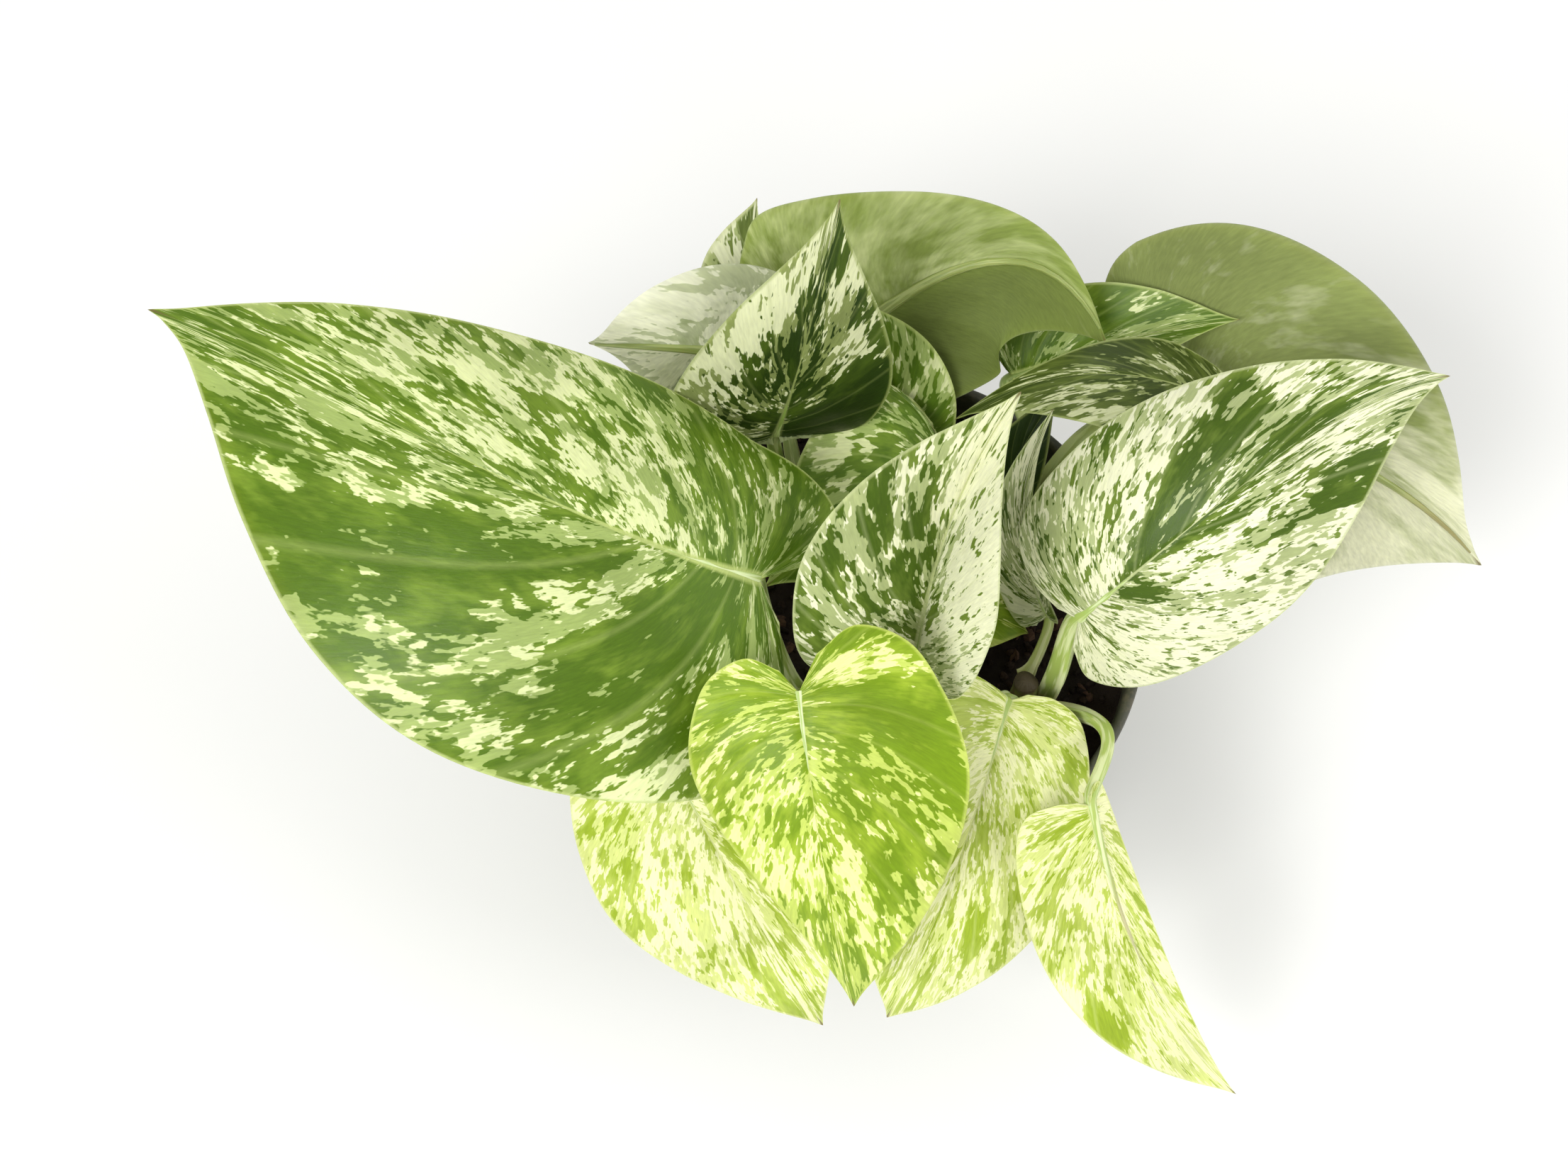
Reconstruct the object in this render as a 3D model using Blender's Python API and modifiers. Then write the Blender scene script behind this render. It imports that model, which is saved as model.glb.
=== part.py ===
"""Potted marble queen pothos: a tapered nursery pot, its soil, the rooted vines and every leaf
with its stalk. Lengths in the tables are millimetres; the scene is in metres, +Z up, with the
origin at the centre of the pot's underside and the viewer of the photograph on the -Y side."""
import math

import bpy
import bmesh
import numpy as np

for old in list(bpy.data.objects):
    bpy.data.objects.remove(old, do_unlink=True)

MM = 0.001
GAP = 0.35           # air between two pieces that would touch in the real plant

# the pot: a thin tapered wall with a stiffened collar and a flat lip, from above
POT_HEIGHT = 80.0
LIP_OUTER = 53.0     # radius of the lip's outer edge
LIP_INNER = 50.8
COLLAR_DROP = 11.0   # height of the thicker band under the lip
COLLAR_STEP = 1.2    # how far the wall steps in below the collar
BASE_OUTER = 36.5    # radius of the underside
WALL = 1.3
FLOOR = 2.2
TURNS = 48           # facets round the pot
DRAIN_HOLES = 8
DRAIN_RADIUS = 3.2
DRAIN_CIRCLE = 25.0

# the soil: a plug 0.35 mm clear of the wall, its top a little crowned
SOIL_TOP = 73.0
SOIL_EDGE = 70.6

# vines: radius, and for each the bottom and top of its axis
VINE_RADIUS = 2.3
VINES = {
    "stem_front_left": ((-9, -19, 46), (-9, -18, 84)),
    "stem_front_right": ((30, -18, 46), (29, -17, 84)),
    "stem_centre": ((4, -9, 46), (5, -8, 84)),
    "stem_back_left": ((-13, 19, 46), (-14, 20, 84)),
    "stem_back_centre": ((4, 25, 46), (4, 26, 84)),
    "stem_back_right": ((31, 23, 46), (32, 24, 82)),
}

BLADE = 0.7          # thickness of a leaf blade
SEAT = 1.6           # radius of a leaf stalk where it starts beside its vine

# Half outline of the heart-shaped blade, from the first side vein, which edges the notch at the
# stalk, to the tip: vein number, share of the blade's length where that vein meets the margin (of
# the lobe's depth where negative), share of the half width there.
OUTLINE = (
    (0.00, -0.60, 0.14), (0.09, -1.00, 0.42), (0.17, -0.62, 0.72), (0.26, 0.05, 0.91),
    (0.36, 0.22, 1.00), (0.47, 0.39, 0.94), (0.57, 0.56, 0.76), (0.68, 0.71, 0.51),
    (0.79, 0.835, 0.265), (0.89, 0.93, 0.09), (1.00, 1.00, 0.00))

# One entry a leaf. midrib: points from the stalk to the tip. width: of the whole blade, and
# halves scales each side of it. faces: the way the upper face looks. fold and curl: degrees each
# side rises from the midrib and bends on the way out, fold_tip the same at the tip. lobe: depth
# of the lobes behind the stalk, drip: how far the last third narrows, belly: how far the widest
# place moves along. wave: height, number and phase of the margin's waves. stem, turn and rise:
# the vine, the side of it and the height where the stalk starts. knee: the point it bends
# towards, nod: the angle it meets the blade at, lead: how long that last bend is, stalk: its
# radius. rows and cols: the mesh. A pair is (side to the left of the way the midrib runs seen
# from above the upper face, other side).
LEAVES = {
    "leaf_left_large": dict(
        midrib=((-19.5, -11, 113.5), (-51.5, -5, 128), (-80, 8.5, 132), (-129, 38.5, 122)),
        width=78, halves=(1.19, 0.85), faces=(-0.04, -0.37, 0.92), fold=(6, -3), curl=(-17, -57),
        lobe=(0.07, 0.12), drip=(0.7, 0.1), belly=(0.11, 0), wave=(1.2, 2.5, 0),
        stem="stem_front_left", turn=170, rise=79, knee=(-17, -20, 94), nod=60, lead=8, stalk=1.7,
        rows=16, cols=4, colour=(0.28, 0.42, 0.12)),
    "leaf_right": dict(
        midrib=((36.5, -13, 101.5), (53, -5, 120), (79, 10.5, 132.5), (99, 20.5, 128.5)),
        width=50, halves=(1.04, 1.12), faces=(0.07, -0.45, 0.9), fold=(-7, -10), curl=(-47, -35),
        lobe=(0.04, 0.12), drip=(0.4, 0.5), belly=(0.05, 0.1), wave=(0.8, 2.5, 0.3),
        stem="stem_front_right", turn=10, rise=76, knee=(35, -19, 88), nod=20, lead=6, stalk=1.9,
        rows=14, cols=4, colour=(0.66, 0.72, 0.46)),
    "leaf_centre_upright": dict(
        midrib=((7, -24, 101), (14.5, 0.5, 121), (23.5, 10, 140.5)),
        width=54, halves=(0.91, 0.84), faces=(0.02, -0.71, 0.7), fold=(22, 68), curl=(-12, 0),
        lobe=(0.02, 0.04), drip=(0, 0), belly=(0.02, 0.02), wave=(0.8, 2, 0.1),
        stem="stem_centre", turn=250, rise=76, knee=(3, -16, 84), nod=70, lead=8, stalk=1.4,
        rows=12, cols=4, colour=(0.72, 0.78, 0.55)),
    "leaf_front_heart": dict(
        midrib=((-13, -34, 118), (-10, -53, 107), (-3, -74, 70)),
        width=50, halves=(1.06, 0.8), faces=(0, -0.7, 0.7), fold=(5, 0), fold_tip=(0, -30), curl=(-20, -10),
        lobe=(0.15, 0.1), drip=(0, 0.3), belly=(0, -0.1), wave=(0.8, 2, 0.6),
        stem="stem_front_left", turn=270, rise=77, knee=(-13, -38, 96), nod=120, lead=8, stalk=1.4,
        rows=12, cols=4, colour=(0.45, 0.6, 0.12)),
    "leaf_front_left": dict(
        midrib=((-37, -33, 90), (-24, -54, 78), (-8, -71, 44)),
        width=48, halves=(0.72, 1.08), faces=(-0.3, -0.6, 0.7), fold=(10, 10), fold_tip=(-20, 10),
        curl=(-20, -20), lobe=(0.14, 0.1), drip=(0, 0), belly=(0, 0.08), wave=(0.8, 2, 0.2),
        stem="stem_front_left", turn=220, rise=77, knee=(-24, -24, 96), nod=60, lead=10, stalk=1.4,
        rows=12, cols=4, colour=(0.62, 0.72, 0.28)),
    "leaf_front_right": dict(
        midrib=((25, -24, 91), (16, -50, 84), (4, -70, 46)),
        width=50, halves=(0.88, 0.76), faces=(0.1, -0.7, 0.6), fold=(4, 2), curl=(-20, -15),
        lobe=(0.055, 0.02), drip=(0, 0), belly=(0.15, 0), wave=(0.8, 2, 0.5),
        stem="stem_front_right", turn=230, rise=76, knee=(27, -21, 88), nod=70, lead=6, stalk=1.4,
        rows=12, cols=4, colour=(0.6, 0.72, 0.3)),
    "leaf_front_right_low": dict(
        midrib=((38, -44, 91), (46, -61, 71), (71, -82, 35)),
        width=36, halves=(0.4, 0.9), faces=(-0.1, -0.7, 0.6), fold=(-62, 28), fold_tip=(-25, 20),
        curl=(0, -20), lobe=(0.04, 0.03), drip=(0, 0), belly=(0, 0.05), wave=(0.5, 2, 0),
        stem="stem_front_right", turn=320, rise=76, knee=(52, -24, 86), nod=50, lead=5, stalk=1.2,
        rows=12, cols=4, colour=(0.66, 0.76, 0.34)),
    "leaf_back_upright": dict(
        midrib=((-17, 25.5, 99), (-12, 28.5, 123), (-6, 42.5, 149)),
        width=44, halves=(1.02, 0.87), faces=(0.15, -0.8, 0.56), fold=(15, -11), curl=(-14, 0),
        lobe=(0.02, 0.02), drip=(0.3, 0.2), belly=(0.04, 0.02), wave=(0.7, 2, 0.4),
        stem="stem_back_left", turn=110, rise=77, knee=(-16, 27, 86), nod=20, lead=6, stalk=1.4,
        rows=12, cols=4, colour=(0.25, 0.36, 0.14)),
    "leaf_back_left": dict(
        midrib=((-27, 43.5, 102), (-37, 39.5, 109), (-52, 42.5, 105)),
        width=46, halves=(0.96, 0.81), faces=(-0.16, 0.9, -0.3), fold=(8, 6), curl=(-29, -28),
        lobe=(0.08, 0.06), drip=(0.5, 0), belly=(-0.05, 0), wave=(0.8, 2.5, 0),
        stem="stem_back_left", turn=170, rise=77, knee=(-22, 27, 86), nod=20, lead=6, stalk=1.4,
        rows=12, cols=4, colour=(0.42, 0.52, 0.26)),
    "leaf_back_large": dict(
        midrib=((-4, 50, 94.5), (34, 54.5, 111), (46.5, 46.5, 97.5)),
        width=76, halves=(0.62, 0.79), faces=(0, 0.85, -0.57), fold=(0, 0), curl=(-20, -10),
        lobe=(0.05, 0.14), drip=(-0.1, 0.65), belly=(0.07, -0.17), wave=(1, 2.5, 0.2),
        stem="stem_back_centre", turn=100, rise=77, knee=(0, 40, 86), nod=20, lead=8, stalk=1.6,
        rows=14, cols=4, colour=(0.33, 0.42, 0.16)),
    "leaf_back_right_large": dict(
        midrib=((60, 45, 76), (89, 32, 84), (125, 18, 61)),
        width=76, halves=(1.2, 1.1), faces=(0.4, 0.78, -0.5), fold=(6, 3), curl=(-15, -13),
        lobe=(0.08, 0.14), drip=(0, 0.7), belly=(0.14, -0.04), wave=(1, 2.5, 0.5),
        stem="stem_back_right", turn=40, rise=77, knee=(42, 34, 90), nod=10, lead=10, stalk=1.6,
        rows=14, cols=4, colour=(0.44, 0.5, 0.28)),
    "leaf_back_narrow": dict(
        midrib=((66.5, 26, 109), (38, 30, 114), (16, 27, 103)),
        width=26, halves=(1.3, 1.05), faces=(0.04, 0.5, 0.68), fold=(-22, 13), curl=(0, 0),
        lobe=(0.03, 0.03), drip=(0.1, 0.1), belly=(0, -0.1), wave=(0.5, 2, 0),
        stem="stem_back_right", turn=340, rise=77, knee=(41, 23, 92), nod=100, lead=8, stalk=1.2,
        rows=10, cols=3, colour=(0.36, 0.42, 0.2)),
    "leaf_back_right_small": dict(
        midrib=((29.5, 47, 86), (49, 51, 92), (71, 49, 103)),
        width=30, halves=(0.86, 0.5), faces=(0, -0.3, 0.9), fold=(15, 10), curl=(-5, -5),
        lobe=(0.03, 0.03), drip=(0.4, 0), belly=(0.1, 0), wave=(0.6, 2, 0.3),
        stem="stem_back_right", turn=100, rise=77, knee=(36, 36, 92), nod=20, lead=6, stalk=1.3,
        rows=10, cols=3, colour=(0.3, 0.4, 0.12)),
    "leaf_inner_left": dict(
        midrib=((14, 29, 91.7), (-1, 16, 89.7), (-19, 2, 83.7)),
        width=42, halves=(0.85, 0.85), faces=(0, -0.4, 0.9), fold=(5, 5), curl=(-10, -10),
        lobe=(0.02, 0.02), drip=(0, 0), belly=(0, 0), wave=(0.6, 2, 0),
        stem="stem_back_right", turn=160, rise=77, knee=(21, 27, 84), nod=80, lead=6, stalk=1.3,
        rows=10, cols=3, colour=(0.28, 0.4, 0.12)),
    "leaf_back_small": dict(
        midrib=((6, 31, 84), (5, 40, 95.2), (-1, 46, 113.5)),
        width=24, halves=(0.8, 1), faces=(0, -0.6, 0.8), fold=(5, 5), curl=(-10, -10),
        lobe=(0.01, 0.01), drip=(0, 0), belly=(0, 0), wave=(0.4, 2, 0),
        stem="stem_back_centre", turn=60, rise=76, knee=(6, 29, 79), nod=20, lead=3, stalk=1,
        rows=10, cols=3, colour=(0.34, 0.44, 0.2)),
    "leaf_unfurling": dict(
        midrib=((34, -3, 81), (28, 7, 97.5), (32, 20, 118.5)),
        width=16, halves=(0.8, 0.6), faces=(-0.37, -0.6, 0.56), fold=(8, 40), curl=(10, 10),
        lobe=(0.01, 0.01), drip=(0, 0), belly=(0, 0), wave=(0.3, 2, 0),
        stem="stem_front_right", turn=80, rise=76, knee=(31, -13, 79), nod=20, lead=3, stalk=1,
        rows=10, cols=3, colour=(0.52, 0.56, 0.42)),
    "leaf_inner_low": dict(
        midrib=((11, 4, 76), (22, -2, 81), (31, -4, 76)),
        width=22, halves=(1, 1), faces=(0, -0.3, 0.9), fold=(10, 10), curl=(-10, -10),
        lobe=(0.06, 0.06), drip=(0, 0), belly=(0, 0), wave=(0.4, 2, 0),
        stem="stem_centre", turn=60, rise=75, knee=(8, -2, 76), nod=20, lead=3, stalk=1,
        rows=10, cols=3, colour=(0.3, 0.42, 0.14)),
    "leaf_inner_dark": dict(
        midrib=((26, 20, 84), (29, 25, 94), (36, 34, 102)),
        width=12, halves=(1, 1), faces=(-0.2, -0.6, 0.7), fold=(10, 10), curl=(-10, -10),
        lobe=(0.04, 0.04), drip=(0, 0), belly=(0, 0), wave=(0.3, 2, 0),
        stem="stem_back_right", turn=200, rise=76, knee=(25, 20, 80), nod=20, lead=3, stalk=0.9,
        rows=10, cols=3, colour=(0.1, 0.16, 0.05)),
    "leaf_back_left_far": dict(
        midrib=((-18, 56.5, 91.5), (-21, 64, 103), (-20.5, 70.5, 112)),
        width=24, halves=(1.05, 0.3), faces=(-0.2, -0.4, 0.9), fold=(8, 8), curl=(-15, -15),
        lobe=(0.06, 0.06), drip=(0, 0), belly=(0, 0), wave=(0.5, 2, 0),
        stem="stem_back_left", turn=50, rise=77, knee=(-17, 44, 82), nod=30, lead=6, stalk=1.2,
        rows=10, cols=3, colour=(0.4, 0.5, 0.26)),
}

whole = bpy.data.collections.new("potted_marble_queen_pothos")
helpers = bpy.data.collections.new("cutters_and_stalks")
bpy.context.scene.collection.children.link(whole)
bpy.context.scene.collection.children.link(helpers)


def material(name, colour, roughness):
    made = bpy.data.materials.new(name)
    made.use_nodes = True
    shader = made.node_tree.nodes["Principled BSDF"]
    shader.inputs["Base Color"].default_value = (*colour, 1.0)
    shader.inputs["Roughness"].default_value = roughness
    return made


def piece(name, mesh, surface):
    """A named part of the plant, in the object's own collection."""
    made = bpy.data.objects.new(name, mesh)
    mesh.materials.append(surface)
    whole.objects.link(made)
    return made


def helper(name, mesh):
    """An operand of a Boolean, kept out of the render."""
    made = bpy.data.objects.new(name, mesh)
    made.hide_render = True
    made.display_type = 'WIRE'
    helpers.objects.link(made)
    return made


def combine(target, operand, operation):
    step = target.modifiers.new(operation.lower(), 'BOOLEAN')
    step.operation = operation
    step.solver = 'EXACT'
    step.object = operand


def turned(name, profile):
    """Mesh of a profile of (radius, height) points, for a Screw modifier to turn about Z."""
    mesh = bpy.data.meshes.new(name)
    points = [(r * MM, 0.0, z * MM) for r, z in profile]
    mesh.from_pydata(points, [(i, i + 1) for i in range(len(points) - 1)], [])
    return mesh


def turn(target):
    step = target.modifiers.new("turn", 'SCREW')
    step.axis = 'Z'
    step.angle = 2 * math.pi
    step.steps = step.render_steps = TURNS
    step.use_merge_vertices = True
    step.merge_threshold = 0.00005
    step.use_normal_calculate = False


def rod_mesh(name, path, radii, resolution):
    """Mesh of a round rod along a path, from a bevelled curve with filled ends."""
    curve = bpy.data.curves.new(name, 'CURVE')
    curve.dimensions = '3D'
    curve.bevel_depth = MM
    curve.bevel_resolution = resolution
    curve.use_fill_caps = True
    spline = curve.splines.new('POLY')
    spline.points.add(len(path) - 1)
    for point, place, radius in zip(spline.points, path, radii):
        point.co = (*(float(c) * MM for c in place), 1.0)
        point.radius = float(radius)
    drawn = bpy.data.objects.new(name, curve)
    bpy.context.scene.collection.objects.link(drawn)
    bpy.context.view_layer.update()
    mesh = bpy.data.meshes.new_from_object(drawn.evaluated_get(bpy.context.evaluated_depsgraph_get()))
    mesh.transform(drawn.matrix_world)
    bpy.data.objects.remove(drawn, do_unlink=True)
    shape = bmesh.new()
    shape.from_mesh(mesh)
    bmesh.ops.remove_doubles(shape, verts=shape.verts, dist=0.00001)
    bmesh.ops.recalc_face_normals(shape, faces=shape.faces)
    shape.to_mesh(mesh)
    shape.free()
    mesh.name = name
    return mesh


def wall_radius(height):
    """Inner radius of the pot's wall, a straight taper from the floor to the collar."""
    share = height / (POT_HEIGHT - COLLAR_DROP)
    return BASE_OUTER - WALL + (LIP_OUTER - COLLAR_STEP - BASE_OUTER) * min(share, 1.0)


# pot: up the inside, over the lip, down the outside, across the flat underside
collar_foot = POT_HEIGHT - COLLAR_DROP
pot_profile = (
    (0, FLOOR), (wall_radius(FLOOR) - 0.8, FLOOR), (wall_radius(FLOOR + 0.8), FLOOR + 0.8),
    (wall_radius(collar_foot), collar_foot), (LIP_INNER, POT_HEIGHT - 0.9), (LIP_INNER + 0.6, POT_HEIGHT),
    (LIP_OUTER - 0.5, POT_HEIGHT), (LIP_OUTER, POT_HEIGHT - 0.8), (LIP_OUTER - 0.5, collar_foot + 0.3),
    (LIP_OUTER - COLLAR_STEP, collar_foot - 0.6), (BASE_OUTER, 1.0), (BASE_OUTER - 0.8, 0), (0, 0))
pot = piece("pot", turned("pot", pot_profile), material("pot_plastic", (0.055, 0.058, 0.038), 0.5))
turn(pot)

drill = bmesh.new()
for i in range(DRAIN_HOLES):
    angle = 2 * math.pi * (i + 0.5) / DRAIN_HOLES
    made = bmesh.ops.create_cone(drill, cap_ends=True, segments=16, radius1=DRAIN_RADIUS * MM,
                                 radius2=DRAIN_RADIUS * MM, depth=3 * FLOOR * MM)
    bmesh.ops.translate(drill, verts=made["verts"], vec=(
        DRAIN_CIRCLE * MM * math.cos(angle), DRAIN_CIRCLE * MM * math.sin(angle), FLOOR / 2 * MM))
drill_mesh = bpy.data.meshes.new("drain_drill")
drill.to_mesh(drill_mesh)
drill.free()
combine(pot, helper("drain_drill", drill_mesh), 'DIFFERENCE')

# soil: crowned top, straight taper beside the wall, resting just clear of the floor
soil_foot = FLOOR + 1.6
soil_profile = (
    (0, SOIL_TOP), (20, SOIL_TOP - 0.3), (40, SOIL_TOP - 1.2),
    (wall_radius(SOIL_EDGE) - GAP - 1.5, SOIL_EDGE + 0.5),
    (wall_radius(collar_foot - 2) - GAP, collar_foot - 2),
    (wall_radius(soil_foot) - GAP, soil_foot), (0, soil_foot))
soil = piece("soil", turned("soil", soil_profile), material("potting_soil", (0.022, 0.016, 0.012), 0.95))
turn(soil)

# vines: each a slim rod standing in its own plain hole in the soil
vine_skin = material("vine_skin", (0.30, 0.26, 0.12), 0.6)
for name, (low, high) in VINES.items():
    low, high = np.array(low, float), np.array(high, float)
    path = [low + (high - low) * t for t in (0.0, 0.6, 0.82, 0.93, 1.0)]
    radii = [VINE_RADIUS * t for t in (1.0, 1.0, 1.0, 0.9, 0.6)]
    piece(name, rod_mesh(name, path, radii, 3), vine_skin)
    below = low - (high - low) / np.linalg.norm(high - low) * GAP
    hole = helper(name + "_hole", rod_mesh(name + "_hole", [below, high], [VINE_RADIUS + GAP] * 2, 3))
    combine(soil, hole, 'DIFFERENCE')


def unit(v):
    return v / np.linalg.norm(v, axis=-1, keepdims=True)


def through(knots, values, at):
    """Smooth curve through the knots, with slopes from the neighbouring knots."""
    slope = np.gradient(values, knots)
    i = np.clip(np.searchsorted(knots, at, side="right") - 1, 0, len(knots) - 2)
    gap = knots[i + 1] - knots[i]
    u = (at - knots[i]) / gap
    return ((2 * u ** 3 - 3 * u ** 2 + 1) * values[i] + (u ** 3 - 2 * u ** 2 + u) * gap * slope[i]
            + (3 * u ** 2 - 2 * u ** 3) * values[i + 1] + (u ** 3 - u ** 2) * gap * slope[i + 1])


def margin(vein, lobe, drip, belly):
    """Where each vein ends on the margin: share of the length, share of the half width."""
    number, along, out = np.array(OUTLINE).T
    along = np.where(along < 0, along * lobe, along + belly * 4 * along * (1 - along))
    out = out * (1 - drip * np.clip((number - 0.42) / 0.42, 0, 1))
    return through(number, along, vein), through(number, out, vein)


def midrib(leaf, along):
    """Point and direction on the midrib at a share of its length, straight on behind the stalk."""
    points = np.array(leaf["midrib"], float)
    knots = np.concatenate([[0], np.cumsum(np.linalg.norm(np.diff(points, axis=0), axis=1))])
    knots = knots / knots[-1]

    def curve(t):
        total = 0
        for i, point in enumerate(points):
            weight = np.ones_like(t)
            for j in range(len(points)):
                if j != i:
                    weight = weight * (t - knots[j]) / (knots[i] - knots[j])
            total = total + weight[..., None] * point
        return total

    steps = np.linspace(0, 1, 65)
    run = np.concatenate([[0], np.cumsum(np.linalg.norm(np.diff(curve(steps), axis=0), axis=1))])
    t = np.interp(np.clip(along, 0, 1), run / run[-1], steps)
    ahead = unit(curve(t + 0.001) - curve(t - 0.001))
    return curve(t) + ahead * (np.minimum(along, 0) * run[-1])[..., None], ahead, run[-1]


def frame(leaf, along):
    """Midrib point, direction, and the upper face's normal there."""
    centre, ahead, length = midrib(leaf, along)
    face = unit(np.array(leaf["faces"], float))
    normal = unit(face - (ahead @ face)[..., None] * ahead)
    return centre, ahead, normal, length


def blade(leaf, vein, side):
    """Upper face of a leaf. vein runs 0 to 1 from the stalk to the tip, side -1 to 1 across."""
    left, out = side >= 0, np.abs(side)
    pick = [margin(vein, leaf["lobe"][k], leaf["drip"][k], leaf["belly"][k]) for k in (0, 1)]
    end_along = np.where(left, pick[0][0], pick[1][0])
    end_out = np.where(left, pick[0][1], pick[1][1])
    half = leaf["width"] / 2 * np.where(left, *leaf["halves"])
    length = midrib(leaf, np.zeros(1))[2]
    start = vein ** 1.5
    reach = np.hypot(end_along - start, end_out * half / length)
    bow = 0.1 * np.sin(np.pi * out) * reach * np.sqrt(1 - vein) * np.clip(2 * vein, 0, 1)
    along = start + (end_along - start) * out - bow
    far = end_out * out * half
    centre, ahead, normal, _ = frame(leaf, along)
    k = np.clip(along, 0, 1)

    def blend(key):
        near, tip = leaf[key], leaf.get(key + "_tip", leaf[key])
        return np.radians(np.where(left, near[0] + (tip[0] - near[0]) * k, near[1] + (tip[1] - near[1]) * k))

    fold, bend = blend("fold"), blend("curl") / half
    bend = np.where(np.abs(bend) < 1e-6, 1e-6, bend)
    sideways = (np.sin(fold + bend * far) - np.sin(fold)) / bend
    lift = (np.cos(fold) - np.cos(fold + bend * far)) / bend
    height, count, phase = leaf["wave"]
    ripple = np.sin(2 * np.pi * (count * vein + phase) + np.where(left, 0, 1.7))
    lift = lift + height * ripple * (end_out * out) ** 2
    across = np.cross(normal, ahead)
    return centre + across * np.where(left, sideways, -sideways)[..., None] + normal * lift[..., None]


def blade_mesh(name, leaf):
    """Triangles over the blade's upper face, with the tip as a single point."""
    rows, cols = leaf["rows"], 2 * leaf["cols"] + 1
    vein, side = np.meshgrid(np.linspace(0, 1, rows + 1), np.linspace(-1, 1, cols), indexing="ij")
    grid = blade(leaf, vein, side) * MM
    shape = bmesh.new()
    ring = [[shape.verts.new(p) for p in row] for row in grid[:-1]] + [[shape.verts.new(grid[-1, 0])] * cols]
    for i in range(rows):
        for j in range(cols - 1):
            a, b, c, d = ring[i][j], ring[i][j + 1], ring[i + 1][j + 1], ring[i + 1][j]
            halves = ((a, c, b), (a, d, c)) if j >= leaf["cols"] else ((a, d, b), (b, d, c))
            for corners in halves:
                if len(set(corners)) == 3:
                    shape.faces.new(corners)
    mesh = bpy.data.meshes.new(name)
    shape.to_mesh(mesh)
    shape.free()
    return mesh


def stalk(leaf):
    """Path and radii of a leaf stalk: up beside its vine, over to the blade, on as its rib."""
    low, high = (np.array(p, float) for p in VINES[leaf["stem"]])
    axis = low + (high - low) * (leaf["rise"] - low[2]) / (high[2] - low[2])
    turn_angle = math.radians(leaf["turn"])
    foot = axis + (VINE_RADIUS + GAP + SEAT) * np.array([math.cos(turn_angle), math.sin(turn_angle), 0])
    centre, ahead, normal, _ = frame(leaf, np.zeros(1))
    radius, nod = leaf["stalk"], math.radians(leaf["nod"])
    base = centre[0] - normal[0] * (radius * 0.75 + 0.2)
    before = base - leaf["lead"] * (math.cos(nod) * ahead[0] + math.sin(nod) * normal[0])
    t = np.linspace(0, 1, 7)[:, None]
    knee = np.array(leaf["knee"], float)
    path = ((1 - t) ** 3 * foot + 3 * t * (1 - t) ** 2 * knee + 3 * t ** 2 * (1 - t) * before + t ** 3 * base)
    radii = np.interp(t[:, 0], (0, 0.25, 0.9, 1), (SEAT, radius, radius, 0.8 * radius))
    share = np.array((0.12, 0.26, 0.42))
    centre, ahead, normal, _ = frame(leaf, share)
    rib = radius * (0.7 - share)
    return (np.concatenate([path, centre - normal * (rib + 0.2)[:, None]]), np.concatenate([radii, rib]))


for name, leaf in LEAVES.items():
    surface = material(name + "_tissue", leaf["colour"], 0.45)
    sheet = piece(name, blade_mesh(name, leaf), surface)
    thick = sheet.modifiers.new("thickness", 'SOLIDIFY')
    thick.thickness = BLADE * MM
    thick.offset = -1.0
    thick.use_even_offset = False
    path, radii = stalk(leaf)
    rod = helper(name + "_stalk", rod_mesh(name + "_stalk", path, radii, 1))
    combine(sheet, rod, 'UNION')
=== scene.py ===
# %% [markdown]
# # A potted marble queen pothos
# This lesson dresses a plain solid model of a house plant: six rooted cuttings of a variegated
# pothos in a round nursery pot, with nineteen heart-shaped leaves. The solid model carries the
# plant's sizes and the places of its parts. Everything here is worked out again from the same
# numbers, only finer, so each piece stays where the solid one is.
#
# Lengths in the tables are millimetres. The scene is in metres, with the origin at the centre of
# the pot's underside, +Z up and the viewer of the photograph on the -Y side.

# %% Load the solid model as the frame
import math

import bmesh
import bpy
import numpy as np
from mathutils import Matrix


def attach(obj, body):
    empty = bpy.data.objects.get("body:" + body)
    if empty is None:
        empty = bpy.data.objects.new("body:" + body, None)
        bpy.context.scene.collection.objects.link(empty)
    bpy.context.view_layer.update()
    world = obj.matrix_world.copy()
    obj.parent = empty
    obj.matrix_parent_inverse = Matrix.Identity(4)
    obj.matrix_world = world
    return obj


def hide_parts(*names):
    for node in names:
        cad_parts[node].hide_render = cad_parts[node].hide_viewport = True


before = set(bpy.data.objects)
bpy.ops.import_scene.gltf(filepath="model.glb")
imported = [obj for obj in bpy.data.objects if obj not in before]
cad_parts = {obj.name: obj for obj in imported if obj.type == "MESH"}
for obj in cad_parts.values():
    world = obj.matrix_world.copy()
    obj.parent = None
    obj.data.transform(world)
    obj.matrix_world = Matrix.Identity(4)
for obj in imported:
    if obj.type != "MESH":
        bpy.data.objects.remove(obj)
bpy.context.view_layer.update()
MM = 0.001


# %% [markdown]
# ## The camera
# The plant was photographed from above the front, looking 64 degrees down. The pot's rim is a
# circle, so how round it looks in the photograph gives that angle, and how wide it is gives the
# distance. A camera is three directions and a place. Here they are worked out from the angle, from
# the distance to the rim's centre and from where in the picture that centre is.

# %% Camera
PHOTO_WIDTH, PHOTO_HEIGHT = 2212, 1659
LOOK_DOWN = math.radians(64)
RIM_DISTANCE = 380.0          # mm from the lens to the centre of the pot's rim
RIM_HEIGHT = 80.0
RIM_PIXEL = (1221.0, 854.0)
PIXELS_PER_MM = 7.47          # at the rim
SENSOR_WIDTH = 36.0           # mm


def placed(name, data):
    """A new object with this data, put into the scene."""
    thing = bpy.data.objects.new(name, data)
    bpy.context.scene.collection.objects.link(thing)
    return thing


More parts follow.
